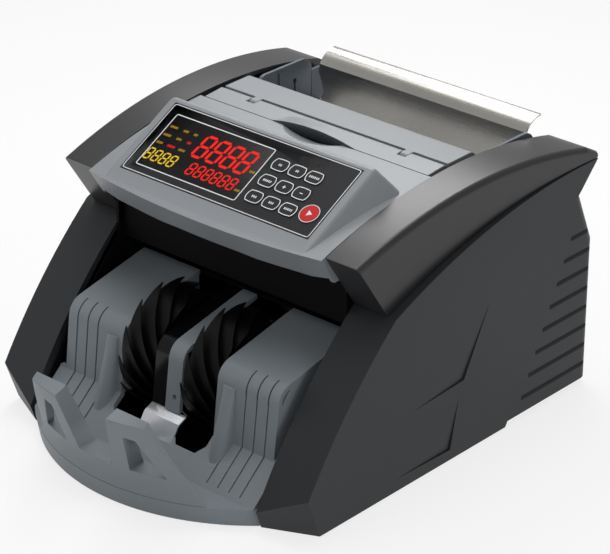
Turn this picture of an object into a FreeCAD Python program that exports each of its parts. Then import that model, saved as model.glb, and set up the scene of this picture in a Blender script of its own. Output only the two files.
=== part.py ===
"""Banknote counting machine: a desktop friction feeder that counts notes into a front stacker.

Millimetres. X runs to the user's right, the user stands on the -Y side, Z is up.
The origin is on the table under the middle of the machine.
"""
import FreeCAD, Part
import math
import os
import re
import Sketcher

Vector = FreeCAD.Vector
Rotation = FreeCAD.Rotation

# Driving dimensions: name, value, what it is
SIZES = [
    ("width", 260, "overall width over the side covers"),
    ("shoulder_gap", 194, "clear width between the two shoulders"),
    ("cover_wall", 2.5, "wall of the outer mouldings"),
    ("seam_gap", 0.4, "gap between neighbouring mouldings"),
    ("foot_proud", 2, "height of the covers above the table"),
    ("foot_height", 5, "height of a rubber foot"),
    ("foot_radius", 9, "radius of a rubber foot"),
    ("toe_reach", 125, "side cover: toe tip, forward of the middle"),
    ("toe_height", 14, "side cover: height of the toe tip"),
    ("toe_yaw", 25, "side cover: turn of the slanted toe facet"),
    ("toe_pitch", 18.6, "side cover: undercut of the slanted toe facet"),
    ("heel_reach", 120.5, "side cover: front of its bottom edge"),
    ("brow_reach", 38.5, "side cover: top of the front slope, forward of the middle"),
    ("brow_height", 120, "side cover: height of the top of the front slope"),
    ("slope_bow", 406, "side cover: radius of the front slope"),
    ("groove_bow", 457, "radius of the parting line under the shoulder"),
    ("tail_reach", 158, "rear tip of the parting line"),
    ("tail_height", 160, "height of the rear tip"),
    ("notch_reach", 142.5, "corner where side, shoulder and rear cover meet"),
    ("notch_height", 143.6, "height of that corner"),
    ("seam_bow", 212, "radius of the seam between side and rear cover"),
    ("seam_foot", 74, "bottom end of that seam"),
    ("facet_depth", 1.4, "depth of the triangular facets in the side"),
    ("beak_reach", 64.5, "shoulder: beak tip, forward of the middle"),
    ("beak_height", 159.5, "shoulder: height of the beak tip"),
    ("beak_inset", 7.5, "shoulder: set-in of its outer face at the beak"),
    ("crown_reach", 149, "shoulder: rear end of the crown"),
    ("crown_height", 169.5, "shoulder: height of that end"),
    ("crown_bow", 377, "shoulder: radius of the crown"),
    ("crown_round", 4, "shoulder: rounding of the outer top edge"),
    ("rear_reach", 160, "rear cover: foot of the back wall"),
    ("rear_waist", 160, "rear cover: back wall at mid height"),
    ("rear_waist_height", 105, "rear cover: height of that point"),
    ("rear_round", 8, "rear cover: rounding of its upright corners"),
    ("rear_base", 5, "rear cover: height of its bottom edge"),
    ("rib_count", 8, "rear cover: number of rib creases on each side"),
    ("rib_top", 112, "rear cover: height of the top crease"),
    ("rib_pitch", 13.7, "rear cover: spacing of the creases"),
    ("rib_start", 134, "rear cover: front end of the top crease"),
    ("rib_shift", 6.5, "rear cover: step of the front ends"),
    ("rib_crease", 1.7, "rear cover: depth of a crease"),
    ("panel_tilt", 28.7, "control panel: slope"),
    ("panel_reach", 58.5, "control panel: lower edge of the overlay, forward of the middle"),
    ("panel_height", 163.4, "control panel: height of that edge"),
    ("overlay_width", 156, "overlay: width"),
    ("overlay_length", 57.5, "overlay: length up the slope"),
    ("overlay_sheet", 0.9, "overlay: thickness"),
    ("bezel_width", 168, "bezel: width of its top face"),
    ("bezel_above", 5, "bezel: margin above the overlay"),
    ("bezel_flank", 10, "bezel: spread of each flank"),
    ("bezel_depth", 20, "bezel: depth under its top face"),
    ("bezel_round", 4, "bezel: rounding of its top edges"),
    ("visor_reach", 73, "visor: front edge at the middle"),
    ("visor_height", 155.5, "visor: height of the front edge"),
    ("visor_bow", 631, "visor: radius of the bowed front edge"),
    ("lip_reach", 63, "visor: lower edge of the lip"),
    ("lip_height", 140, "visor: height of the lower edge"),
    ("ledge_end", 33.5, "control housing: rear end of the flat ledge"),
    ("ledge_height", 178.2, "control housing: height of the flat ledge"),
    ("ledge_depth", 12, "control housing: thickness of the ledge"),
    ("scoop_radius", 78, "finger scoop: radius"),
    ("scoop_depth", 6.5, "finger scoop: depth"),
    ("window_left", 70, "display window: left edge from the middle"),
    ("window_right", 13.4, "display window: right edge from the middle"),
    ("window_low", 6.7, "display window: lower edge up the slope"),
    ("window_high", 50, "display window: upper edge up the slope"),
    ("key_width", 12.2, "key: width"),
    ("key_length", 10.4, "key: length up the slope"),
    ("key_bow", 22, "key: radius of the bowed sides"),
    ("key_first", 24.3, "key: first column from the middle"),
    ("key_pitch", 13.7, "key: spacing of the columns"),
    ("key_row", 13.9, "key: lowest row up the slope"),
    ("key_rise", 13.4, "key: spacing of the rows"),
    ("key_proud", 0.5, "key: height above the overlay"),
    ("key_travel", 0.5, "key: travel"),
    ("key_play", 0.3, "key: play in its hole"),
    ("start_across", 66.8, "start key: centre from the middle"),
    ("start_up", 16.4, "start key: centre up the slope"),
    ("start_radius", 6.2, "start key: radius"),
    ("lid_front", 34, "lid: front edge"),
    ("lid_width", 186, "lid: width"),
    ("lid_thick", 7, "lid: thickness"),
    ("lid_top", 179.8, "lid: height of its top"),
    ("hinge_reach", 49.1, "lid: hinge axis behind the middle"),
    ("pin_radius", 1.5, "lid: radius of the hinge pin"),
    ("fit_play", 0.05, "running fit on the radius"),
    ("ear_across", 63, "lid hinge ear: centre from the middle"),
    ("ear_width", 6, "lid hinge ear: width"),
    ("arch_span", 70, "lid: span of the finger arch"),
    ("arch_rise", 4, "lid: rise of the finger arch"),
    ("guide_rear", 80, "hopper front guide: rear edge"),
    ("guide_top", 180.2, "hopper front guide: height of its top"),
    ("guide_low", 149, "hopper front guide: height of its lower edge"),
    ("deck_top", 143, "feed deck: height of its top"),
    ("deck_thick", 3, "feed deck: thickness"),
    ("deck_front", 46, "feed deck: front edge"),
    ("deck_rear", 121, "feed deck: rear edge"),
    ("plate_width", 174, "hopper back plate: width over the lip"),
    ("plate_sheet", 1.2, "hopper back plate: sheet"),
    ("plate_neck", 139, "hopper back plate: its neck"),
    ("plate_neck_height", 171, "hopper back plate: height of the neck"),
    ("plate_bow", 42, "hopper back plate: radius of the hollow"),
    ("lip_tip", 154, "hopper back plate: tip of the rolled lip"),
    ("lip_tip_height", 179.5, "hopper back plate: height of that tip"),
    ("lip_roll", 16, "hopper back plate: radius of the roll"),
    ("wall_sheet", 2.2, "hopper wall: thickness"),
    ("wall_front", 83, "hopper wall: front edge"),
    ("wall_rear", 137, "hopper wall: rear edge"),
    ("wall_top", 176, "hopper wall: height of its top"),
    ("frame_sheet", 2, "side frame: sheet"),
    ("frame_top", 137, "side frame: height behind the visor"),
    ("frame_back", 150, "side frame: height at the hopper"),
    ("pan_sheet", 2, "base pan: sheet"),
    ("pan_front", 92, "base pan: front edge"),
    ("pan_rear", 150, "base pan: rear edge"),
    ("tray_reach", 160, "stacker tray: front of the rim"),
    ("tray_bow", 140.7, "stacker tray: radius of the bowed front"),
    ("tray_undercut", 2, "stacker tray: set-back of the rim's foot"),
    ("rim_height", 14, "stacker tray: height of the rim"),
    ("ramp_start", 125, "stacker tray: front of the ramp"),
    ("block_foot", 100.5, "stacker block: foot of the front face"),
    ("block_foot_height", 35, "stacker block: height of that foot"),
    ("block_brow", 95, "stacker block: top of the front face"),
    ("block_brow_height", 80, "stacker block: height of that point"),
    ("block_rear", 28, "stacker block: rear edge of its top"),
    ("block_rear_height", 94, "stacker block: height of that edge"),
    ("block_round", 12, "stacker block: rounding of the top edge"),
    ("block_width", 178, "stacker blocks: width over both"),
    ("block_sheet", 3, "stacker tray: wall"),
    ("crease_pitch", 9, "stacker block: spacing of the grooves"),
    ("crease_width", 1, "stacker block: width of a groove"),
    ("fin_reach", 8, "stacker fin: length on the tray"),
    ("fin_height", 28, "stacker fin: height"),
    ("fin_thick", 6, "stacker fin: thickness"),
    ("stop_foot", 71, "stacker stop: half width of its foot"),
    ("stop_outer", 47, "stacker stop: outer end of a plate's top from the middle"),
    ("stop_inner", 21.5, "stacker stop: inner end of a plate's top from the middle"),
    ("stop_saddle", 13, "stacker stop: half width of the saddle between the plates"),
    ("saddle_height", 31, "stacker stop: height of the saddle"),
    ("stop_height", 69, "stacker stop: height of a plate's front edge"),
    ("stop_rise", 3.5, "stacker stop: rise of its top to the back"),
    ("stop_lean", 0.33, "stacker stop: forward lean for each unit of height"),
    ("lean_start", 24, "stacker stop: height where the lean begins"),
    ("stop_thick", 10, "stacker stop: thickness along the machine"),
    ("strip_left", 2.4, "centre guide: left edge, left of the middle"),
    ("strip_right", 9.6, "centre guide: right edge"),
    ("reflector_half", 14.6, "reflector and sensor window: half width between the wheels"),
    ("wheel_across", 26.5, "stacker wheel: centre from the middle"),
    ("wheel_reach", 61.5, "stacker wheel: axis forward of the middle"),
    ("wheel_height", 56, "stacker wheel: height of the axis"),
    ("wheel_radius", 43.5, "stacker wheel: radius over the vanes"),
    ("wheel_width", 22, "stacker wheel: width"),
    ("wheel_slot", 26, "stacker wheel: width of its slot"),
    ("hub_radius", 13, "stacker wheel: radius of the hub"),
    ("vane_count", 14, "stacker wheel: number of vanes"),
    ("vane_sweep", 100, "stacker wheel: sweep of a vane"),
    ("vane_bow", 30, "stacker wheel: radius of a vane"),
    ("vane_root", 2, "stacker wheel: thickness of a vane at its root"),
    ("vane_tip", 0.8, "stacker wheel: thickness of a vane at its tip"),
    ("shaft_radius", 4, "shaft: radius"),
    ("bearing_radius", 8, "bearing: radius"),
    ("bearing_length", 6, "bearing: length"),
    ("pickup_reach", 100, "pick-up shaft: behind the middle"),
    ("pickup_height", 129.5, "pick-up shaft: height"),
    ("pickup_radius", 16, "pick-up roller: radius"),
    ("pickup_width", 16, "pick-up roller: width"),
    ("feed_reach", 66, "feed shaft: behind the middle"),
    ("feed_height", 124, "feed shaft: height"),
    ("feed_radius", 22, "feed roller: radius"),
    ("feed_across", 45, "feed roller: spacing"),
    ("feed_width", 22, "feed roller: width"),
    ("transport_reach", 16.2, "transport shaft: behind the middle"),
    ("transport_height", 95.6, "transport shaft: height"),
    ("transport_radius", 14, "transport roller: radius"),
    ("transport_across", 24, "transport roller: inner pair from the middle"),
    ("transport_pitch", 42, "transport roller: spacing"),
    ("transport_width", 14, "transport roller: width"),
    ("pinch_radius", 9, "pinch roller: radius"),
    ("nip_gap", 0.4, "gap between a pinch roller and its partner"),
    ("note_slope", 19.9, "slope of the note path"),
    ("roller_proud", 1.5, "height of a roller above the note path"),
    ("guide_sheet", 2.5, "note guide: thickness"),
    ("note_gap", 17, "clear height between the two note guides"),
    ("motor_reach", 36, "motor: behind the middle"),
    ("motor_height", 42, "motor: height of its axis"),
    ("motor_radius", 26, "motor: radius"),
    ("motor_length", 70, "motor: length"),
    ("belt_width", 5, "belt: width"),
    ("belt_thick", 1.4, "belt: thickness"),
    ("belt_play", 0.1, "gap between a belt and its pulley"),
    ("flange_rise", 2.2, "pulley: rise of its flange"),
    ("flange_thick", 1, "pulley: thickness of its flange"),
    ("drive_radius", 10, "motor pulley: radius"),
    ("feed_pulley", 18, "feed pulley: radius"),
    ("transport_pulley", 11, "transport pulley: radius"),
    ("pickup_pulley", 11.6, "pick-up pulley: radius"),
    ("pickup_drive", 11, "feed shaft: radius of the pulley that drives the pick-up shaft"),
    ("stacker_drive", 8, "transport shaft: radius of the pulley that drives the stacker shaft"),
    ("stacker_pulley", 20, "stacker pulley: radius"),
    ("inlet_across", 78, "mains inlet: centre left of the middle"),
    ("inlet_height", 40, "mains inlet: height of its centre"),
    ("inlet_wide", 27, "mains inlet: width of its body"),
    ("inlet_tall", 20, "mains inlet: height of its body"),
    ("inlet_deep", 22, "mains inlet: depth of its body"),
    ("switch_rise", 32, "power switch: centre above the inlet"),
    ("switch_wide", 15, "power switch: width of its frame"),
    ("switch_tall", 24, "power switch: height of its frame"),
    ("entry_flange", 1.2, "power entry: thickness of its flange"),
    ("rocker_lean", 10, "power rocker: lean at rest"),
]

document = FreeCAD.newDocument("BanknoteCounter")
sheet = document.addObject("Spreadsheet::Sheet", "Sizes")
for row, (alias, number, note) in enumerate(SIZES, 1):
    sheet.set("A%d" % row, note)
    sheet.set("B%d" % row, str(number))
    sheet.setAlias("B%d" % row, alias)
document.recompute()
ALIASES = {alias for alias, number, note in SIZES}
NODES = []

# Lengths that several pieces share, worked out from the sheet
HALF_WIDTH = "width/2"
HALF_GAP = "shoulder_gap/2"
INNER_HALF = "(shoulder_gap/2 - seam_gap)"
FRAME_OUTER = "(shoulder_gap/2 - seam_gap)"
FRAME_INNER = "(shoulder_gap/2 - seam_gap - frame_sheet)"
BAY_HALF = "(shoulder_gap/2 - 2*seam_gap - frame_sheet)"
PAN_TOP = "(foot_height + pan_sheet)"
BELT_FIRST = "(shoulder_gap/2 + 3)"
BELT_SECOND = "(shoulder_gap/2 + 3 + belt_width + 2*belt_play + 2*flange_thick)"
PINCH_REACH = "(transport_reach - (transport_radius + pinch_radius + nip_gap)*sin(note_slope))"
PINCH_HEIGHT = "(transport_height + (transport_radius + pinch_radius + nip_gap)*cos(note_slope))"
HINGE_HEIGHT = "(lid_top - lid_thick/2)"


def link(text):
    """Write each size named in an expression as a reference to its cell."""
    def cell(word):
        return "Sizes." + word.group() if word.group() in ALIASES else word.group()
    return re.sub(r"[a-z_]\w*", cell, str(text))


def size(text):
    """Value of an expression, in millimetres or degrees."""
    return float(sheet.evalExpression(link(text)))


def keep(item, label):
    """Give a finished piece its name and add it to the pieces that are written."""
    item.Label = label
    NODES.append(item)
    return item


def body(name):
    """New body with no features yet."""
    return document.addObject("PartDesign::Body", name)


def sketch(owner, plane, lift="0"):
    """Sketch on one of the body's own planes, lifted along the plane's normal."""
    flat = owner.newObject("Sketcher::SketchObject", owner.Name + "_sketch")
    support = [item for item in owner.Origin.OriginFeatures if item.Role == plane + "_Plane"]
    flat.AttachmentSupport = [(support[0], "")]
    flat.MapMode = "FlatFace"
    flat.setExpression(".AttachmentOffset.Base.z", link(lift))
    return flat


def panel_sketch(owner, depth="0"):
    """Sketch on the sloped control panel, a given depth under the overlay's top face."""
    flat = sketch(owner, "XY")
    flat.AttachmentOffset = FreeCAD.Placement(Vector(), Rotation(Vector(1, 0, 0), size("panel_tilt")))
    flat.setExpression(".AttachmentOffset.Rotation.Angle", link("panel_tilt"))
    flat.setExpression(".AttachmentOffset.Base.y", link("-panel_reach + (%s)*sin(panel_tilt)" % depth))
    flat.setExpression(".AttachmentOffset.Base.z", link("panel_height - (%s)*cos(panel_tilt)" % depth))
    return flat


def bind(flat, kind, target, text):
    """Add a constraint whose value follows the sheet."""
    place = flat.addConstraint(Sketcher.Constraint(kind, *target, size(text)))
    flat.setExpression("Constraints[%d]" % place, link(text))


def bend(start, end, radius, left):
    """Minor arc between two points that turns left or right."""
    half = (end - start) / 2
    rise = math.sqrt(radius ** 2 - half.Length ** 2)
    aside = Vector(-half.y, half.x, 0).normalize() * (rise if left else -rise)
    centre = start + half + aside
    first, last = [math.atan2(p.y - centre.y, p.x - centre.x) for p in (start, end)]
    if not left:
        first, last = last, first
    return Part.ArcOfCircle(Part.Circle(centre, Vector(0, 0, 1), radius), first, last)


def loop(flat, corners):
    """Closed outline. A corner's third entry bends the side to the next corner: plus turns left."""
    marks = [Vector(size(corner[0]), size(corner[1]), 0) for corner in corners]
    ends = []
    for place, corner in enumerate(corners):
        start, end = marks[place], marks[(place + 1) % len(marks)]
        if len(corner) == 2:
            side = flat.addGeometry(Part.LineSegment(start, end))
            ends.append((side, 1, 2))
            continue
        turn, radius = corner[2][0], corner[2][1:]
        side = flat.addGeometry(bend(start, end, size(radius), turn == "+"))
        ends.append((side, 1, 2) if turn == "+" else (side, 2, 1))
        bind(flat, "Radius", (side,), radius)
    for place, (side, first, last) in enumerate(ends):
        after, begin, finish = ends[(place + 1) % len(ends)]
        flat.addConstraint(Sketcher.Constraint("Coincident", side, last, after, begin))
        bind(flat, "DistanceX", (-1, 1, side, first), corners[place][0])
        bind(flat, "DistanceY", (-1, 1, side, first), corners[place][1])
    return flat


def rectangle(flat, left, low, right, high):
    """Upright rectangle."""
    return loop(flat, [(left, low), (right, low), (right, high), (left, high)])


def disc(flat, across, up, radius):
    """Full circle."""
    ring = flat.addGeometry(Part.Circle(Vector(size(across), size(up), 0), Vector(0, 0, 1), size(radius)))
    bind(flat, "DistanceX", (-1, 1, ring, 3), across)
    bind(flat, "DistanceY", (-1, 1, ring, 3), up)
    bind(flat, "Radius", (ring,), radius)
    return flat


def feature(owner, kind, flat, length, both, back):
    """Pad or pocket of a sketch. Back turns its direction round."""
    item = owner.newObject("PartDesign::" + kind, owner.Name + "_" + kind.lower())
    item.Profile = flat
    item.SideType = "Symmetric" if both else "One side"
    item.Reversed = back
    item.setExpression("Length", link(length))
    return item


def pad(owner, flat, length, both=False, back=False):
    """Add material along the sketch's normal."""
    return feature(owner, "Pad", flat, length, both, back)


def pocket(owner, flat, length, both=False, back=False):
    """Cut against the sketch's normal, and check that something was cut."""
    document.recompute()
    before = owner.Shape.Volume
    item = feature(owner, "Pocket", flat, length, both, back)
    document.recompute()
    if owner.Shape.Volume > before - 1e-6:
        raise RuntimeError(owner.Name + ": a pocket cuts nothing")
    return item


def soften(owner, radius, places):
    """Round the edges that lie nearest to the given points."""
    document.recompute()
    base = owner.Tip
    names = set()
    for place in places:
        mark = Part.Vertex(Vector(*[size(text) for text in place]))
        gaps = [edge.distToShape(mark)[0] for edge in base.Shape.Edges]
        names.add("Edge%d" % (gaps.index(min(gaps)) + 1))
    item = owner.newObject("PartDesign::Fillet", owner.Name + "_fillet")
    item.Base = (base, sorted(names))
    item.setExpression("Radius", link(radius))
    return item


def shell(owner, wall, places):
    """Hollow a solid, open at the faces nearest to the given points."""
    document.recompute()
    base = owner.Tip
    names = []
    for place in places:
        mark = Part.Vertex(Vector(*[size(text) for text in place]))
        gaps = [face.distToShape(mark)[0] for face in base.Shape.Faces]
        names.append("Face%d" % (gaps.index(min(gaps)) + 1))
    item = owner.newObject("PartDesign::Thickness", owner.Name + "_shell")
    item.Base = (base, names)
    item.setExpression("Value", link(wall))
    item.Reversed = True
    item.Join = 0
    return item


def place_at(item, across, forward, up):
    """Bind an object's position to the sheet."""
    for axis, text in zip("xyz", (across, forward, up)):
        item.setExpression(".Placement.Base." + axis, link(text))
    return item


def rod(name, radius, low, length, forward, up):
    """Round bar along X."""
    bar = document.addObject("Part::Cylinder", name)
    bar.Placement = FreeCAD.Placement(Vector(), Rotation(Vector(0, 1, 0), 90))
    bar.setExpression("Radius", link(radius))
    bar.setExpression("Height", link(length))
    return place_at(bar, low, forward, up)


def box(name, wide, deep, tall, across, forward, up):
    """Block with its lower left front corner at the given point."""
    item = document.addObject("Part::Box", name)
    item.setExpression("Length", link(wide))
    item.setExpression("Width", link(deep))
    item.setExpression("Height", link(tall))
    return place_at(item, across, forward, up)


def cut(name, base, tool):
    """Base without tool."""
    item = document.addObject("Part::Cut", name)
    item.Base = base
    item.Tool = tool
    return item


def fuse(name, members):
    """One solid out of several that meet."""
    item = document.addObject("Part::MultiFuse", name)
    item.Shapes = members
    return item


def group(name, members):
    """Several separate solids that share one name."""
    item = document.addObject("Part::Compound", name)
    item.Links = members
    return item


def tube(name, outer, inner, low, length, forward, up):
    """Round sleeve along X."""
    bore_low = "(%s) - 1" % low
    bore = rod(name + "_bore", inner, bore_low, "(%s) + 2" % length, forward, up)
    return cut(name, rod(name + "_blank", outer, low, length, forward, up), bore)


def mirrored(source, label):
    """The same piece for the other side of the machine."""
    item = document.addObject("Part::Mirroring", label)
    item.Source = source
    item.Normal = Vector(1, 0, 0)
    return keep(item, label)


# Outer covers
def side_cover():
    """Charcoal side moulding: sloped front, slanted toe, hollow towards the frame."""
    owner = body("side_cover_shell")
    flat = sketch(owner, "YZ", HALF_GAP)
    loop(flat, [
        ("-heel_reach", "foot_proud"),
        ("seam_foot - 2", "foot_proud"),
        ("seam_foot", "rear_base", "-seam_bow"),
        ("notch_reach", "notch_height"),
        ("tail_reach", "tail_height", "+groove_bow"),
        ("-brow_reach", "brow_height", "+slope_bow"),
        ("-toe_reach", "toe_height"),
    ])
    pad(owner, flat, "(width - shoulder_gap)/2")
    facet = owner.newObject("PartDesign::SubtractiveBox", "toe_facet")
    reach = 60
    turn = Rotation(Vector(0, 0, 1), size("toe_yaw")) * Rotation(Vector(1, 0, 0), size("toe_pitch"))
    tip = Vector(size(HALF_GAP), -size("toe_reach"), size("toe_height"))
    facet.Length, facet.Width, facet.Height = 2 * reach, reach, 2 * reach
    facet.Placement = FreeCAD.Placement(tip + turn.multVec(Vector(-reach, -reach, -reach)), turn)
    hollow = sketch(owner, "YZ", HALF_GAP)
    loop(hollow, [
        ("-heel_reach + 18", "foot_proud + cover_wall"),
        ("seam_foot - cover_wall", "foot_proud + cover_wall", "-seam_bow + cover_wall"),
        ("notch_reach - 1.5*cover_wall", "notch_height + cover_wall/2"),
        ("tail_reach - 4*cover_wall", "tail_height - 2*cover_wall", "+groove_bow - cover_wall"),
        ("-brow_reach + cover_wall/2", "brow_height - cover_wall", "+slope_bow"),
        ("-toe_reach + 17", "toe_height + 14"),
    ])
    pocket(owner, hollow, "(width - shoulder_gap)/2 - cover_wall", back=True)
    cutters = group("side_facets", [
        wedge_cutter("upper_facet", (51.6, 98.6), (28.2, 53.6), (-20.7, 51.3)),
        wedge_cutter("lower_facet", (23.7, 43.5), (16.4, 9.2), (-36.5, 10.8)),
    ])
    return cut("right_side_cover", owner, cutters)


def wedge_cutter(name, start, deep, end):
    """Tetrahedron that sinks one corner of a triangle into the side face."""
    face = size(HALF_WIDTH) + 0.01
    corners = [Vector(face, *spot) for spot in (start, deep, end)]
    corners.append(Vector(face - size("facet_depth"), *deep))
    sides = []
    for skip in range(4):
        three = [corner for place, corner in enumerate(corners) if place != skip]
        sides.append(Part.Face(Part.makePolygon(three + three[:1])))
    item = document.addObject("Part::Feature", name)
    solid = Part.Solid(Part.Shell(sides))
    solid.fixTolerance(1e-6)
    item.Shape = solid if solid.Volume > 0 else solid.reversed()
    return item


def shoulder_cover():
    """Arched shoulder with a beak at the front, set in from the side cover at the beak."""
    owner = body("right_shoulder_cover")
    flat = sketch(owner, "YZ", HALF_GAP)
    loop(flat, [
        ("-brow_reach", "brow_height + seam_gap", "-groove_bow"),
        ("tail_reach", "tail_height + seam_gap"),
        ("tail_reach + 2", "crown_height - 6"),
        ("crown_reach", "crown_height", "+crown_bow"),
        ("-beak_reach", "beak_height"),
    ])
    pad(owner, flat, "(width - shoulder_gap)/2")
    side = sketch(owner, "XY")
    loop(side, [
        (HALF_WIDTH + " - beak_inset", "-beak_reach - 5"),
        (HALF_WIDTH + " + 20", "-beak_reach - 5"),
        (HALF_WIDTH + " + 20", "tail_reach + 5"),
        (HALF_WIDTH, "tail_reach + 5"),
    ])
    pocket(owner, side, "crown_height*2", back=True)
    soften(owner, "crown_round", [
        (HALF_WIDTH + " - beak_inset/2", "crown_reach/3", "crown_height + 9"),
        (HALF_WIDTH, "crown_reach + 6", "crown_height - 3"),
    ])
    hollow = sketch(owner, "YZ", HALF_GAP)
    loop(hollow, [
        ("-brow_reach + 2*cover_wall", "brow_height + 3*cover_wall", "-groove_bow"),
        ("tail_reach - 8*cover_wall", "tail_height + seam_gap + cover_wall"),
        ("crown_reach - 4*cover_wall", "crown_height - cover_wall/2", "+crown_bow"),
        ("-beak_reach + 2.5*cover_wall", "beak_height - cover_wall/2"),
    ])
    pocket(owner, hollow, "(width - shoulder_gap)/2 - beak_inset - cover_wall", back=True)
    return owner


def rear_cover():
    """Rear moulding with creased sides, open to the front and below, with inlet and vents."""
    owner = body("rear_cover_shell")
    flat = sketch(owner, "YZ")
    loop(flat, [
        ("seam_foot + seam_gap", "rear_base"),
        ("rear_reach", "rear_base"),
        ("rear_waist", "rear_waist_height"),
        ("notch_reach + seam_gap + 0.6", "notch_height", "+seam_bow"),
    ])
    pad(owner, flat, "width - 1", both=True)
    soften(owner, "rear_round", [
        ("width/2 - 0.5", "rear_reach", "rear_waist_height/2"),
        ("-width/2 + 0.5", "rear_reach", "rear_waist_height/2"),
        ("width/2 - 0.5", "rear_waist - 4", "(rear_waist_height + notch_height)/2"),
        ("-width/2 + 0.5", "rear_waist - 4", "(rear_waist_height + notch_height)/2"),
    ])
    shell(owner, "cover_wall", [
        ("0", "(seam_foot + rear_reach)/2", "rear_base"),
        ("0", "seam_foot + 27", "notch_height/2 - 5"),
    ])
    deck = sketch(owner, "YZ")
    rectangle(deck, "deck_rear + 2", "deck_top - deck_thick", "notch_reach", "deck_top")
    pad(owner, deck, "2*(%s - wall_sheet - 1)" % BAY_HALF, both=True)
    openings = sketch(owner, "XZ")
    entry_outline(openings, "inlet_height", "inlet_wide", "inlet_tall", "seam_gap/2")
    entry_outline(openings, "inlet_height + switch_rise", "switch_wide", "switch_tall", "seam_gap/2")
    for slot in range(9):
        left = "%d" % (20 + slot * 8)
        rectangle(openings, left, "inlet_height - 10", left + " + 4", "inlet_height + 20")
    pocket(owner, openings, "rear_reach + 10")
    recess = sketch(owner, "XZ", "-rear_reach + entry_flange + 0.1")
    rectangle(recess, "-inlet_across - inlet_wide/2 - 3.2", "inlet_height - inlet_tall/2 - 3.2",
              "-inlet_across + inlet_wide/2 + 3.2", "inlet_height + switch_rise + switch_tall/2 + 3.2")
    pocket(owner, recess, "5")
    creases = []
    for side in (1, -1):
        for step in range(int(size("rib_count"))):
            creases.append(rib_crease("crease_%d_%d" % (side, step), side, step))
    return cut("rear_cover", owner, group("rear_creases", creases))


def rib_crease(name, side, step):
    """Square bar on edge that leaves a crease between two ribs."""
    bar = document.addObject("Part::Box", name)
    bar.setExpression("Length", link("rib_crease*1.4142"))
    bar.setExpression("Height", link("rib_crease*1.4142"))
    bar.setExpression("Width", link("rear_reach"))
    bar.Placement = FreeCAD.Placement(Vector(), Rotation(Vector(0, 1, 0), 45))
    place_at(bar, "%d*(width/2 - 0.5) - rib_crease" % side,
             "rib_start - %d*rib_shift" % step, "rib_top - %d*rib_pitch" % step)
    return bar


def base_pan():
    """Sheet steel floor with turned-up ends and air slots."""
    owner = body("base_pan")
    flat = sketch(owner, "XY", "foot_height")
    rectangle(flat, "-" + INNER_HALF, "-pan_front", INNER_HALF, "pan_rear")
    pad(owner, flat, "pan_sheet")
    edge = sketch(owner, "XY", PAN_TOP)
    rectangle(edge, "-%s + 4" % FRAME_INNER, "pan_rear - pan_sheet", FRAME_INNER + " - 4", "pan_rear")
    rectangle(edge, "-%s + 4" % FRAME_INNER, "-pan_front", FRAME_INNER + " - 4", "-pan_front + pan_sheet")
    pad(owner, edge, "8")
    slots = sketch(owner, "XY", PAN_TOP)
    for slot in range(8):
        left = "%d" % (-70 + slot * 10)
        rectangle(slots, left, "20", left + " + 4", "55")
    pocket(owner, slots, "pan_sheet")
    return owner


def feet():
    """Four tapered rubber feet."""
    members = []
    for side in (1, -1):
        for place in ("-pan_front + 14", "pan_rear - 16"):
            foot = document.addObject("Part::Cone", "foot")
            foot.setExpression("Radius1", link("foot_radius - 1.5"))
            foot.setExpression("Radius2", link("foot_radius"))
            foot.setExpression("Height", link("foot_height"))
            members.append(place_at(foot, "%d*(shoulder_gap/2 - 18)" % side, place, "0"))
    return group("rubber_feet", members)


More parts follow.
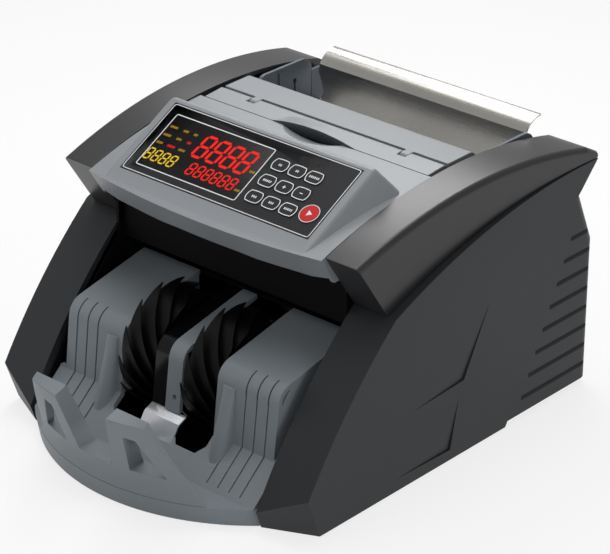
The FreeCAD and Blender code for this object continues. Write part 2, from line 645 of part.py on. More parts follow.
# Control panel
def control_housing():
    """Light grey top: arched shell, raised wedge bezel, bowed visor lip, ledge with a finger scoop."""
    owner = body("control_housing")
    bezel(owner, "AdditiveLoft", "0")
    flank = "(bezel_width/2 + bezel_flank/4)"
    top_reach = "(-panel_reach + (overlay_length + bezel_above)*cos(panel_tilt))"
    top_height = "(panel_height + (overlay_length + bezel_above)*sin(panel_tilt))"
    slope_mid = "(overlay_length/2*cos(panel_tilt) - panel_reach)"
    slope_height = "(panel_height + overlay_length/2*sin(panel_tilt))"
    corner_reach = top_reach + " + bezel_depth/4*sin(panel_tilt)"
    corner_height = top_height + " - bezel_depth/4*cos(panel_tilt)"
    soften(owner, "bezel_round", [
        ("0", top_reach, top_height),
        ("bezel_width/2", slope_mid, slope_height),
        ("-bezel_width/2", slope_mid, slope_height),
        (flank, corner_reach, corner_height),
        ("-" + flank, corner_reach, corner_height),
    ])
    flat = sketch(owner, "YZ")
    loop(flat, [
        ("-visor_reach - 10", "lip_height"),
        ("ledge_end", "lip_height"),
        ("ledge_end", "ledge_height", "+crown_bow"),
        ("-beak_reach", "beak_height"),
        ("-visor_reach - 10", "beak_height - 5.5"),
    ])
    pad(owner, flat, "2*" + INNER_HALF, both=True)
    front = sketch(owner, "YZ")
    slant = "(visor_reach - lip_reach)/(visor_height - lip_height)"
    loop(front, [
        ("-lip_reach + 5*" + slant, "lip_height - 5"),
        ("-visor_reach - 50*" + slant, "visor_height + 50"),
        ("-visor_reach - 90", "visor_height + 50"),
        ("-visor_reach - 90", "lip_height - 5"),
    ])
    document.recompute()
    axis = front.addGeometry(Part.LineSegment(Vector(size("visor_bow - visor_reach"), 0, 0),
                                              Vector(size("visor_bow - visor_reach"), 50, 0)), True)
    front.addConstraint(Sketcher.Constraint("Vertical", axis))
    bind(front, "DistanceX", (-1, 1, axis, 1), "visor_bow - visor_reach")
    bind(front, "DistanceY", (-1, 1, axis, 1), "0")
    bind(front, "DistanceY", (axis, 1, axis, 2), "50")
    groove(owner, front, "Axis0", "40")
    document.recompute()
    hollow = sketch(owner, "YZ")
    loop(hollow, [
        ("-lip_reach + 2*cover_wall", "lip_height - 5"),
        ("ledge_end - cover_wall", "lip_height - 5"),
        ("ledge_end - cover_wall", "ledge_height - ledge_depth"),
        ("ledge_end - 22", "ledge_height - ledge_depth"),
        ("ledge_end - 24", "ledge_height - 2*cover_wall"),
        ("-beak_reach + 3*cover_wall", "beak_height - 1.6*cover_wall"),
    ])
    pocket(owner, hollow, "2*(%s - cover_wall)" % INNER_HALF, both=True)
    bezel(owner, "SubtractiveLoft", "cover_wall")
    recess = panel_sketch(owner)
    rectangle(recess, "-overlay_width/2 - seam_gap/2", "-seam_gap/2",
              "overlay_width/2 + seam_gap/2", "overlay_length + seam_gap/2")
    pocket(owner, recess, "overlay_sheet + 0.1")
    mouths = panel_sketch(owner)
    rectangle(mouths, "-window_left + 3", "window_low + 3", "window_right - 3", "window_high - 3")
    rectangle(mouths, "key_first - key_width/2 - 1.5", "key_row - key_length/2 - 1.5",
              "start_across + start_radius + 1.5", "key_row + 2*key_rise + key_length/2 + 1.5")
    pocket(owner, mouths, "bezel_depth")
    dish = owner.newObject("PartDesign::SubtractiveSphere", "finger_scoop")
    dish.setExpression("Radius", link("scoop_radius"))
    place_at(dish, "0", "lid_front + 18", "ledge_height + scoop_radius - scoop_depth")
    return owner


def bezel(owner, kind, inset):
    """Wedge under the control panel, as a solid or as the hollow inside it."""
    wide = "(bezel_width/2 - 1.6*(%s))" % inset
    high = "(overlay_length + bezel_above - 1.6*(%s))" % inset
    front = "(-14 + 4*(%s))" % inset
    top = panel_sketch(owner, inset)
    rectangle(top, "-" + wide, front, wide, high)
    foot = panel_sketch(owner, "bezel_depth + (%s)" % inset)
    rectangle(foot, "-%s - bezel_flank" % wide, front, wide + " + bezel_flank", high + " + 2.5")
    document.recompute()
    item = owner.newObject("PartDesign::" + kind, owner.Name + "_bezel")
    item.Profile = top
    item.Sections = [foot]
    item.Ruled = True
    document.recompute()
    return item


def groove(owner, flat, axis, angle):
    """Turned cut about a line of the sketch, the same to both sides."""
    item = owner.newObject("PartDesign::Groove", owner.Name + "_groove")
    item.Profile = flat
    item.ReferenceAxis = (flat, [axis])
    item.setExpression("Angle", link(angle))
    item.Midplane = True
    return item


def key_places():
    """Name, place across and place up the slope of each shaped key."""
    for row, level in enumerate(("low", "middle", "top")):
        for column, side in enumerate(("left", "centre", "right")):
            yield ("key_%s_%s" % (level, side), "key_first + %d*key_pitch" % column,
                   "key_row + %d*key_rise" % row)


def key_outline(flat, across, up, grow):
    """Key shape: four corners with every side bowed outwards."""
    half = "(key_width/2 - 0.8 + (%s))" % grow
    rise = "(key_length/2 - 1.1 + (%s))" % grow
    loop(flat, [
        ("%s - %s" % (across, half), "%s - %s" % (up, rise), "+key_bow"),
        ("%s + %s" % (across, half), "%s - %s" % (up, rise), "+key_bow"),
        ("%s + %s" % (across, half), "%s + %s" % (up, rise), "+key_bow"),
        ("%s - %s" % (across, half), "%s + %s" % (up, rise), "+key_bow"),
    ])


def overlay():
    """Thin printed panel with holes for the keys and the display window."""
    owner = body("membrane_overlay")
    flat = panel_sketch(owner, "overlay_sheet")
    rectangle(flat, "-overlay_width/2", "0", "overlay_width/2", "overlay_length")
    pad(owner, flat, "overlay_sheet")
    holes = panel_sketch(owner)
    rectangle(holes, "-window_left - seam_gap/2", "window_low - seam_gap/2",
              "window_right + seam_gap/2", "window_high + seam_gap/2")
    for name, across, up in key_places():
        key_outline(holes, across, up, "key_play")
    disc(holes, "start_across", "start_up", "start_radius + key_play")
    pocket(owner, holes, "overlay_sheet")
    return owner


def display_window():
    """Dark window plate, flush in the overlay."""
    owner = body("display_window")
    flat = panel_sketch(owner, "overlay_sheet")
    rectangle(flat, "-window_left", "window_low", "window_right", "window_high")
    pad(owner, flat, "overlay_sheet")
    return owner


def key(name, across, up, round_key):
    """Key cap with a retaining flange and a plunger that runs in its switch."""
    owner = body(name)
    cap = panel_sketch(owner, "overlay_sheet + 0.6")
    flange = panel_sketch(owner, "overlay_sheet + 0.6")
    if round_key:
        disc(cap, across, up, "start_radius")
        disc(flange, across, up, "start_radius + 0.8")
    else:
        key_outline(cap, across, up, "0")
        key_outline(flange, across, up, "key_play + 0.2")
    pad(owner, cap, "overlay_sheet + 0.6 + key_proud")
    pad(owner, flange, "0.6 - key_play")
    plunger = panel_sketch(owner, "overlay_sheet + 0.6")
    disc(plunger, across, up, "1.4")
    pad(owner, plunger, "2.4", back=True)
    return owner


def key_board():
    """Circuit board under the panel with a switch under each key, the display block and spacers."""
    owner = body("key_board")
    top = "(overlay_sheet + 0.6 + key_travel + 4)"
    flat = panel_sketch(owner, top)
    rectangle(flat, "-overlay_width/2 + 3", "1", "overlay_width/2 - 2", "overlay_length - 3")
    pad(owner, flat, "1.6", back=True)
    switches = panel_sketch(owner, top)
    for name, across, up in key_places():
        disc(switches, across, up, "3")
        disc(switches, across, up, "1.4 + 2*fit_play")
    disc(switches, "start_across", "start_up", "3")
    disc(switches, "start_across", "start_up", "1.4 + 2*fit_play")
    pad(owner, switches, "3.6")
    display = panel_sketch(owner, top)
    rectangle(display, "-window_left + 4", "window_low + 4", "window_right - 4", "window_high - 4")
    pad(owner, display, top + " - overlay_sheet - 0.4")
    spacers = panel_sketch(owner, top)
    for across in ("-overlay_width/2 + 6", "key_first - key_width/2 - 5"):
        for up in ("3.5", "overlay_length - 6"):
            disc(spacers, across, up, "2")
    pad(owner, spacers, top + " - cover_wall - 0.3")
    return owner


# Lid and hopper
def lid():
    """Flap with a rounded hinge edge and an arched finger grip."""
    owner = body("lid")
    low = "(lid_top - lid_thick)"
    flat = sketch(owner, "YZ")
    loop(flat, [
        ("lid_front", low),
        ("hinge_reach", low),
        ("hinge_reach", "lid_top"),
        ("lid_front", "lid_top - 1.4"),
    ])
    pad(owner, flat, "lid_width", both=True)
    knuckle = sketch(owner, "YZ")
    disc(knuckle, "hinge_reach", HINGE_HEIGHT, "lid_thick/2")
    pad(owner, knuckle, "lid_width", both=True)
    arch = sketch(owner, "XZ", "-lid_front")
    radius = "(arch_span^2/4 + arch_rise^2)/(2*arch_rise)"
    loop(arch, [
        ("-arch_span/2", "lid_top - 1.6"),
        ("arch_span/2", "lid_top - 1.6", "+" + radius),
    ])
    pad(owner, arch, "hinge_reach - lid_thick/2 - 2 - lid_front", back=True)
    under = sketch(owner, "XZ", "-lid_front + 1")
    loop(under, [
        ("-arch_span/2 + 4", low + " - 1"),
        ("arch_span/2 - 4", low + " - 1", "+" + radius),
    ])
    pocket(owner, under, "9", back=False)
    notches = sketch(owner, "XY", "lid_top + 20")
    for side in (1, -1):
        middle = "%d*ear_across" % side
        rectangle(notches, middle + " - ear_width/2 - seam_gap", "hinge_reach - lid_thick/2 - 1.5",
                  middle + " + ear_width/2 + seam_gap", "hinge_reach + lid_thick")
    pocket(owner, notches, "60")
    bore = sketch(owner, "YZ")
    disc(bore, "hinge_reach", HINGE_HEIGHT, "pin_radius + fit_play")
    pocket(owner, bore, "lid_width + 2", both=True)
    return owner


def hopper_front_guide():
    """Strip behind the lid: flat top, rounded rear edge, apron down to the feed gap, hinge ears."""
    owner = body("hopper_front_guide")
    start = "(hinge_reach + lid_thick/2 + seam_gap)"
    flat = sketch(owner, "YZ")
    loop(flat, [
        (start, "lid_top - lid_thick"),
        ("guide_rear - 5", "lid_top - lid_thick"),
        ("guide_rear - 8", "guide_low + 2"),
        ("guide_rear - 5", "guide_low"),
        ("guide_rear - 1", "guide_low + 2"),
        ("guide_rear + 2", "guide_top - 7", "+9"),
        ("guide_rear - 5", "guide_top"),
        (start, "lid_top"),
    ])
    pad(owner, flat, "lid_width", both=True)
    for side in (1, -1):
        arm = sketch(owner, "YZ", "%d*ear_across - ear_width/2" % side)
        rectangle(arm, "hinge_reach", "lid_top - lid_thick", start + " + 2", "lid_top")
        pad(owner, arm, "ear_width")
        eye = sketch(owner, "YZ", "%d*ear_across - ear_width/2" % side)
        disc(eye, "hinge_reach", HINGE_HEIGHT, "lid_thick/2")
        pad(owner, eye, "ear_width")
    bore = sketch(owner, "YZ")
    disc(bore, "hinge_reach", HINGE_HEIGHT, "pin_radius")
    pocket(owner, bore, "lid_width", both=True)
    return owner


def feed_deck():
    """Hopper floor with windows for the feed and pick-up rollers."""
    owner = body("feed_deck")
    flat = sketch(owner, "YZ")
    rectangle(flat, "deck_front", "deck_top - deck_thick", "deck_rear", "deck_top")
    pad(owner, flat, "2*" + BAY_HALF, both=True)
    windows = sketch(owner, "XY", "deck_top + 1")
    for step in (-1, 0, 1):
        middle = "%d*feed_across" % step
        rectangle(windows, middle + " - feed_width/2 - 1.5", "feed_reach - feed_radius + 5",
                  middle + " + feed_width/2 + 1.5", "feed_reach + feed_radius - 5")
    for side in (1, -1):
        middle = "%d*feed_across/2" % side
        rectangle(windows, middle + " - pickup_width/2 - 1.5", "pickup_reach - pickup_radius + 1.5",
                  middle + " + pickup_width/2 + 1.5", "pickup_reach + pickup_radius - 1.5")
    pocket(owner, windows, "deck_thick + 2")
    return owner


def hopper_back_plate():
    """Stainless sheet: hollow foot, straight neck and a rolled lip."""
    owner = body("hopper_back_plate")
    flat = sketch(owner, "YZ")
    foot = "(deck_rear + 0.5)"
    loop(flat, [
        (foot, "deck_top + seam_gap", "+plate_bow"),
        ("plate_neck", "plate_neck_height", "-lip_roll"),
        ("lip_tip", "lip_tip_height"),
        ("lip_tip", "lip_tip_height - plate_sheet", "+lip_roll - plate_sheet"),
        ("plate_neck + plate_sheet", "plate_neck_height", "-plate_bow + plate_sheet"),
        (foot + " + 1.6*plate_sheet", "deck_top + seam_gap"),
    ])
    pad(owner, flat, "plate_width", both=True)
    corners = sketch(owner, "XZ", "-lip_tip - 5")
    for side in (1, -1):
        loop(corners, [
            ("%d*(plate_width/2 + 1)" % side, "deck_top - 5"),
            ("%d*(plate_width/2 + 1)" % side, "plate_neck_height - 4"),
            ("%d*(plate_width/2 - 9)" % side, "plate_neck_height - 16"),
            ("%d*(plate_width/2 - 9)" % side, "deck_top - 5"),
        ])
    pocket(owner, corners, "60", back=True)
    return owner


def hopper_wall():
    """Grey side plate of the hopper with a rounded corner, a rib and sensor holes."""
    owner = body("right_hopper_wall")
    inner = "(%s - wall_sheet)" % FRAME_INNER
    flat = sketch(owner, "YZ", inner)
    rectangle(flat, "wall_front", "deck_top + seam_gap", "wall_rear", "wall_top")
    pad(owner, flat, "wall_sheet")
    middle = FRAME_INNER + " - wall_sheet/2"
    soften(owner, "9", [(middle, "wall_front", "wall_top"), (middle, "wall_rear", "wall_top")])
    rib = sketch(owner, "YZ", inner)
    rectangle(rib, "wall_front + 21", "deck_top + seam_gap", "wall_front + 27", "wall_top - 3")
    pad(owner, rib, "0.8", back=True)
    holes = sketch(owner, "YZ", FRAME_INNER)
    disc(holes, "wall_front + 12", "wall_top - 11", "1.8")
    disc(holes, "wall_front + 37", "wall_top - 13", "1.8")
    rectangle(holes, "wall_front + 36.2", "wall_top - 22", "wall_front + 37.8", "wall_top - 14.2")
    pocket(owner, holes, "wall_sheet")
    return owner


def retard_block():
    """Friction block over the feed rollers, hollowed to their curve."""
    blank = box("retard_blank", "2*feed_across + feed_width", "14", "lid_top - lid_thick - feed_height",
                "-feed_across - feed_width/2", "feed_reach - 9", "feed_height")
    hollow = rod("retard_hollow", "feed_radius + nip_gap", "-feed_across - feed_width",
                 "2*feed_across + 2*feed_width", "feed_reach", "feed_height")
    return cut("retard_block", blank, hollow)


# Frame and drive
def side_frame():
    """Steel side plate that carries the bearings."""
    owner = body("right_side_frame")
    flat = sketch(owner, "YZ", FRAME_INNER)
    loop(flat, [
        ("-toe_reach + 19", PAN_TOP),
        ("pan_rear - 6", PAN_TOP),
        ("pan_rear - 6", "frame_top - 40"),
        ("deck_rear + 2", "frame_back"),
        ("ledge_end + 1", "frame_back"),
        ("ledge_end + 1", "frame_top"),
        ("-brow_reach - 6", "frame_top"),
        ("-brow_reach - 6", "brow_height - 14", "+slope_bow"),
        ("-toe_reach + 12", "toe_height + 8"),
    ])
    pad(owner, flat, "frame_sheet")
    holes = sketch(owner, "YZ", FRAME_OUTER)
    for forward, up in AXLES:
        disc(holes, forward, up, "bearing_radius + fit_play")
    disc(holes, "motor_reach", "motor_height", "10.3")
    disc(holes, "100", "60", "22")
    disc(holes, "-20", "30", "11")
    pocket(owner, holes, "frame_sheet")
    return owner


AXLES = [
    ("pickup_reach", "pickup_height"),
    ("feed_reach", "feed_height"),
    ("transport_reach", "transport_height"),
    (PINCH_REACH, PINCH_HEIGHT),
    ("-wheel_reach", "wheel_height"),
]


def tie_rods():
    """Round spacers between the two side frames."""
    places = [("-8", "20"), ("pan_rear - 14", "20"), ("pan_rear - 20", "88"), ("-10", "66")]
    members = []
    for order, (forward, up) in enumerate(places):
        members.append(rod("tie_rod_%d" % order, "4", "-" + FRAME_INNER, "2*" + FRAME_INNER, forward, up))
    return group("tie_rods", members)


def bearings():
    """Sleeve bearings in both side frames, one for each end of a shaft."""
    members = []
    for order, (forward, up) in enumerate(AXLES):
        for side in (1, -1):
            low = "%d*(%s - frame_sheet/2) - bearing_length/2" % (side, FRAME_OUTER)
            members.append(tube("bearing_%d_%d" % (order, side), "bearing_radius",
                                "shaft_radius + fit_play", low, "bearing_length", forward, up))
    return group("shaft_bearings", members)


def turned_shaft(name, forward, up, pulleys):
    """Shaft turned about X, with flanged pulleys given as radius and belt place."""
    owner = body(name)
    flat = sketch(owner, "XY")
    end = "(%s + bearing_length)" % HALF_GAP
    last = "(%s + belt_width + 2*belt_play + flange_thick)" % pulleys[-1][1]
    corners = [("-" + end, "0"), (last, "0")]
    for radius, low in reversed(pulleys):
        high = "(%s + belt_width + 2*belt_play)" % low
        corners += [
            ("%s + flange_thick" % high, "%s + flange_rise" % radius),
            (high, "%s + flange_rise" % radius),
            (high, radius),
            (low, radius),
            (low, "%s + flange_rise" % radius),
            ("%s - flange_thick" % low, "%s + flange_rise" % radius),
        ]
    corners.append(("%s - flange_thick" % pulleys[0][1], "shaft_radius"))
    corners.append(("-" + end, "shaft_radius"))
    loop(flat, corners)
    document.recompute()
    turned = owner.newObject("PartDesign::Revolution", name + "_turned")
    turned.Profile = flat
    axis = [item for item in owner.Origin.OriginFeatures if item.Role == "X_Axis"][0]
    turned.ReferenceAxis = (axis, [""])
    turned.setExpression("Angle", "360")
    return place_at(owner, "0", forward, up)


def rollers(name, radius, wide, places, forward, up):
    """Rubber sleeves on one shaft."""
    members = []
    for order, across in enumerate(places):
        members.append(tube("%s_%d" % (name, order), radius, "shaft_radius + fit_play",
                            "%s - %s/2" % (across, wide), wide, forward, up))
    return group(name, members)


def pinch_rollers():
    """Idler turned in one piece: a shaft with four pressing rings."""
    end = "(%s + bearing_length)" % HALF_GAP
    members = [rod("pinch_axle", "shaft_radius", "-" + end, "2*" + end, *AXLES[3])]
    for order, across in enumerate(TRANSPORT_PLACES):
        members.append(rod("pinch_ring_%d" % order, "pinch_radius", "%s - transport_width/2" % across,
                           "transport_width", *AXLES[3]))
    return fuse("pinch_rollers", members)


def stacker_wheel(name, side):
    """Rubber wheel: hub with curved vanes whose tips trail, so that each pocket catches a note."""
    owner = body(name)
    hub = sketch(owner, "YZ")
    disc(hub, "0", "0", "hub_radius")
    disc(hub, "0", "0", "shaft_radius + fit_play")
    pad(owner, hub, "wheel_width", both=True)
    vane = sketch(owner, "YZ")
    root = "(hub_radius - 1)"
    loop(vane, [
        ("%s*cos(vane_sweep)" % root, "%s*sin(vane_sweep)" % root, "-vane_bow"),
        ("wheel_radius", "0"),
        ("wheel_radius - vane_tip", "-vane_tip/2", "+vane_bow - vane_root"),
        ("%s*cos(vane_sweep - 9*vane_root)" % root, "%s*sin(vane_sweep - 9*vane_root)" % root),
    ])
    blade = pad(owner, vane, "wheel_width", both=True)
    document.recompute()
    ring = owner.newObject("PartDesign::PolarPattern", name + "_vanes")
    ring.Originals = [blade]
    axis = [item for item in owner.Origin.OriginFeatures if item.Role == "X_Axis"][0]
    ring.Axis = (axis, [""])
    ring.Angle = 360
    ring.setExpression("Occurrences", link("vane_count"))
    owner.Tip = ring
    return place_at(owner, "%d*wheel_across" % side, "-wheel_reach", "wheel_height")


def motor():
    """Motor can with end caps and a front boss that seats in the right side frame."""
    owner = body("main_motor")
    flat = sketch(owner, "XY")
    face = FRAME_INNER
    loop(flat, [
        (face + " - motor_length", "3 + 2*fit_play"),
        (face + " + 2", "3 + 2*fit_play"),
        (face + " + 2", "10"),
        (face, "10"),
        (face, "motor_radius - 2"),
        (face + " - 4", "motor_radius"),
        (face + " - motor_length + 8", "motor_radius"),
        (face + " - motor_length + 3", "motor_radius - 6"),
        (face + " - motor_length", "10"),
    ])
    document.recompute()
    turned = owner.newObject("PartDesign::Revolution", "motor_turned")
    turned.Profile = flat
    axis = [item for item in owner.Origin.OriginFeatures if item.Role == "X_Axis"][0]
    turned.ReferenceAxis = (axis, [""])
    turned.setExpression("Angle", "360")
    return place_at(owner, "0", "motor_reach", "motor_height")


def motor_pulley():
    """Rotor shaft with the driving pulley."""
    owner = body("motor_pulley")
    flat = sketch(owner, "XY")
    high = "(%s + belt_width + 2*belt_play)" % BELT_FIRST
    loop(flat, [
        (FRAME_INNER + " - motor_length + 4", "0"),
        (high + " + flange_thick", "0"),
        (high + " + flange_thick", "drive_radius + flange_rise"),
        (high, "drive_radius + flange_rise"),
        (high, "drive_radius"),
        (BELT_FIRST, "drive_radius"),
        (BELT_FIRST, "drive_radius + flange_rise"),
        (BELT_FIRST + " - flange_thick", "drive_radius + flange_rise"),
        (BELT_FIRST + " - flange_thick", "3"),
        (FRAME_INNER + " - motor_length + 4", "3"),
    ])
    document.recompute()
    turned = owner.newObject("PartDesign::Revolution", "rotor_turned")
    turned.Profile = flat
    axis = [item for item in owner.Origin.OriginFeatures if item.Role == "X_Axis"][0]
    turned.ReferenceAxis = (axis, [""])
    turned.setExpression("Angle", "360")
    return place_at(owner, "0", "motor_reach", "motor_height")


def tangent_loop(wheels, extra):
    """Wire of tangent lines and arcs round pulleys listed anticlockwise as centre and radius."""
    marks = []
    for place, (centre, radius) in enumerate(wheels):
        after, next_radius = wheels[(place + 1) % len(wheels)]
        line = after - centre
        lean = math.acos((radius - next_radius) / line.Length)
        heading = math.atan2(line.y, line.x) - lean
        out = Vector(math.cos(heading), math.sin(heading), 0)
        marks.append((centre + out * (radius + extra), after + out * (next_radius + extra)))
    edges = []
    for place, (centre, radius) in enumerate(wheels):
        leave, arrive = marks[place]
        came = marks[place - 1][1]
        middle = (came - centre) + (leave - centre)
        if middle.Length < 1e-6 or (came - centre).cross(leave - centre).z < 0:
            middle = middle * -1
        top = centre + middle.normalize() * (radius + extra)
        edges.append(Part.Arc(came, top, leave).toShape())
        edges.append(Part.LineSegment(leave, arrive).toShape())
    return Part.Wire(edges)


def belt(name, wheels, low):
    """Endless belt round two or three pulleys, as forward and up centre and radius."""
    spots = [(Vector(size(forward), size(up), 0), size(radius)) for forward, up, radius in wheels]
    play = size("belt_play")
    outer = Part.Face(tangent_loop(spots, play + size("belt_thick")))
    inner = Part.Face(tangent_loop(spots, play))
    band = outer.cut(inner).extrude(Vector(0, 0, size("belt_width")))
    item = document.addObject("Part::Feature", name)
    item.Shape = band.Solids[0]
    turn = Rotation(Vector(0, 1, 0), Vector(0, 0, 1), Vector(1, 0, 0), "ZXY")
    item.Placement = FreeCAD.Placement(Vector(size(low) + play, 0, 0), turn)
    return item


def lower_guide():
    """Chute from the feed rollers down to the stacker, with windows for the transport rollers."""
    owner = body("lower_guide")
    flat = sketch(owner, "YZ")
    lift = "(transport_radius - roller_proud)"
    touch = "(transport_reach - %s*sin(note_slope))" % lift
    level = "(transport_height + %s*cos(note_slope))" % lift
    front = "(-block_rear + 1.5)"
    back = "(feed_reach - feed_radius - 1.5)"
    loop(flat, [
        (front, "%s + (%s - %s)*tan(note_slope)" % (level, front, touch)),
        (front, "%s + (%s - %s)*tan(note_slope) - guide_sheet" % (level, front, touch)),
        (back, "%s + (%s - %s)*tan(note_slope) - guide_sheet" % (level, back, touch)),
        (back, "%s + (%s - %s)*tan(note_slope)" % (level, back, touch)),
    ])
    pad(owner, flat, "2*" + BAY_HALF, both=True)
    windows = sketch(owner, "XY", "frame_back")
    for across in TRANSPORT_PLACES:
        rectangle(windows, across + " - transport_width/2 - 1.5", "transport_reach - transport_radius - 1",
                  across + " + transport_width/2 + 1.5", "transport_reach + transport_radius")
    pocket(owner, windows, "frame_back")
    return owner


TRANSPORT_PLACES = (
    "-transport_across - transport_pitch",
    "-transport_across",
    "transport_across",
    "transport_across + transport_pitch",
)


def upper_guide():
    """Black cover over the note path, with a front wall that closes the bay under the visor."""
    owner = body("upper_guide")
    flat = sketch(owner, "YZ")
    lift = "(transport_radius - roller_proud)"
    touch = "(transport_reach - %s*sin(note_slope))" % lift
    level = "(transport_height + %s*cos(note_slope) + note_gap)" % lift
    front = "(-brow_reach - 2)"
    back = "(ledge_end)"
    wall = front + " + guide_sheet"
    path = level + " + (%s - " + touch + ")*tan(note_slope)"
    loop(flat, [
        (front, path % front),
        (back, path % back),
        (back, path % back + " + guide_sheet"),
        (wall, path % wall + " + guide_sheet"),
        (wall, "frame_top + 2"),
        (front, "frame_top + 2"),
    ])
    pad(owner, flat, "2*" + BAY_HALF, both=True)
    windows = sketch(owner, "XY", "frame_back")
    for across in TRANSPORT_PLACES:
        rectangle(windows, "%s - transport_width/2 - 1.5" % across, PINCH_REACH + " - pinch_radius - 1.5",
                  "%s + transport_width/2 + 1.5" % across, PINCH_REACH + " + pinch_radius + 1.5")
    for side in (1, -1):
        rectangle(windows, "%d*(%s - bearing_length/2)" % (side, BAY_HALF),
                  PINCH_REACH + " - bearing_radius - 1",
                  "%d*(%s + 5)" % (side, BAY_HALF), PINCH_REACH + " + bearing_radius + 1")
    pocket(owner, windows, "frame_back")
    return owner


# Stacker bay
def stacker_tray():
    """Grey moulding: bowed rim, ramp, two ribbed blocks with wheel slots, and a fin beside each wheel."""
    owner = body("stacker_tray")
    flat = sketch(owner, "YZ")
    loop(flat, [
        ("-tray_reach - 5", "foot_proud"),
        ("-ramp_start - 4", "foot_proud"),
        ("-ramp_start", "rim_height - block_sheet"),
        ("-block_foot + block_sheet", "block_foot_height - block_sheet"),
        ("-block_brow + block_sheet", "block_brow_height - block_sheet"),
        ("-block_rear", "block_rear_height - block_sheet"),
        ("-block_rear", "block_rear_height"),
        ("-block_brow", "block_brow_height"),
        ("-block_foot", "block_foot_height"),
        ("-ramp_start", "rim_height"),
        ("-tray_reach - 5", "rim_height"),
    ])
    pad(owner, flat, "2*" + BAY_HALF, both=True)
    soften(owner, "block_round", [("0", "-block_brow", "block_brow_height")])
    soften(owner, "block_round - block_sheet",
           [("0", "-block_brow + block_sheet", "block_brow_height - block_sheet")])
    sides = sketch(owner, "XZ", "ramp_start - 4")
    for side in (1, -1):
        rectangle(sides, "%d*block_width/2" % side, "block_foot_height + 1",
                  "%d*width/2" % side, "block_rear_height*2")
    pocket(owner, sides, "ramp_start")
    inner = "(wheel_across - wheel_slot/2)"
    outer = "(wheel_across + wheel_slot/2)"
    slot_end = "(-wheel_reach - wheel_radius - 7)"
    slots = sketch(owner, "XY", "block_rear_height + 20")
    for side in (1, -1):
        loop(slots, [
            ("%d*%s" % (side, inner), "-block_rear + 5"),
            ("%d*%s" % (side, inner), slot_end + " + 5"),
            ("%d*(%s + 5)" % (side, inner), slot_end),
            ("%d*(%s - 5)" % (side, outer), slot_end),
            ("%d*%s" % (side, outer), slot_end + " + 5"),
            ("%d*%s" % (side, outer), "-block_rear + 5"),
        ])
    pocket(owner, slots, "block_rear_height + 20 - foot_proud")
    middle = sketch(owner, "XY", "block_rear_height + 20")
    rectangle(middle, "-reflector_half - seam_gap", "-ramp_start + 12",
              "reflector_half + seam_gap", "-block_rear + 5")
    pocket(owner, middle, "block_rear_height + 20 - foot_proud")
    for side in (1, -1):
        block_wall(owner, side, outer)
        block_wall(owner, side, "(block_width/2 - block_sheet)")
        fin(owner, side)
        for step in range(4):
            crease(owner, "%d*(block_width/2 - 8 - %d*crease_pitch)" % (side, step))
    rim_front(owner, "0", "rim_height + 1")
    return owner


def block_wall(owner, side, across):
    """Upright web that closes one side of a block, with a hole for the stacker shaft."""
    flat = sketch(owner, "YZ", "%d*(%s + block_sheet/2) - block_sheet/2" % (side, across))
    loop(flat, [
        ("-block_foot + 1", "block_foot_height - 1"),
        ("-block_rear - 1", "block_foot_height - 1"),
        ("-block_rear - 1", "block_rear_height - 1"),
        ("-block_brow + block_round", "block_brow_height + 1"),
        ("-block_brow + 1", "block_brow_height - block_round"),
    ])
    disc(flat, "-wheel_reach", "wheel_height", "shaft_radius + 3")
    pad(owner, flat, "block_sheet")


def crease(owner, across):
    """Shallow groove up the ramp and the face of a block."""
    flat = sketch(owner, "YZ", across + " - crease_width/2")
    loop(flat, [
        ("-ramp_start + 3", "rim_height + 10"),
        ("-ramp_start + 3", "rim_height + 1"),
        ("-block_foot + 1", "block_foot_height - 1"),
        ("-block_brow + 1", "block_brow_height - 11"),
        ("-block_brow - 9", "block_brow_height - 11"),
        ("-block_foot - 9", "block_foot_height + 5"),
    ])
    pocket(owner, flat, "crease_width", back=True)


def fin(owner, side):
    """Triangular fin on the ramp, against the block beside the wheel."""
    start = "%d*(wheel_across + wheel_slot/2 + 7 + fin_thick/2) - fin_thick/2" % side
    flat = sketch(owner, "YZ", start)
    rise = "(block_foot_height - rim_height)/(ramp_start - block_foot)"
    loop(flat, [
        ("-block_foot + 1", "block_foot_height - 1"),
        ("-block_foot + 1", "block_foot_height + fin_height"),
        ("-block_foot - fin_reach + 2", "block_foot_height + 4 - (fin_reach - 2)*" + rise),
        ("-block_foot - fin_reach", "block_foot_height - 1 - fin_reach*" + rise),
    ])
    pad(owner, flat, "fin_thick")


def rim_front(owner, lean, lean_from):
    """Turn the front of a piece to the bowed line of the rim: undercut foot, upright, then leaning out."""
    front = sketch(owner, "YZ")
    slant = "tray_undercut/(rim_height - foot_proud)"
    loop(front, [
        ("-tray_reach + tray_undercut + 5*" + slant, "foot_proud - 5"),
        ("-tray_reach", "rim_height"),
        ("-tray_reach", lean_from),
        ("-tray_reach - 60*(%s)" % lean, lean_from + " + 60"),
        ("-tray_reach - 90", lean_from + " + 60"),
        ("-tray_reach - 90", "foot_proud - 5"),
    ])
    document.recompute()
    centre = "tray_bow - tray_reach"
    middle = size(centre)
    axis = front.addGeometry(Part.LineSegment(Vector(middle, 0, 0), Vector(middle, 50, 0)), True)
    front.addConstraint(Sketcher.Constraint("Vertical", axis))
    bind(front, "DistanceX", (-1, 1, axis, 1), centre)
    bind(front, "DistanceY", (-1, 1, axis, 1), "0")
    bind(front, "DistanceY", (axis, 1, axis, 2), "50")
    groove(owner, front, "Axis0", "170")
    document.recompute()


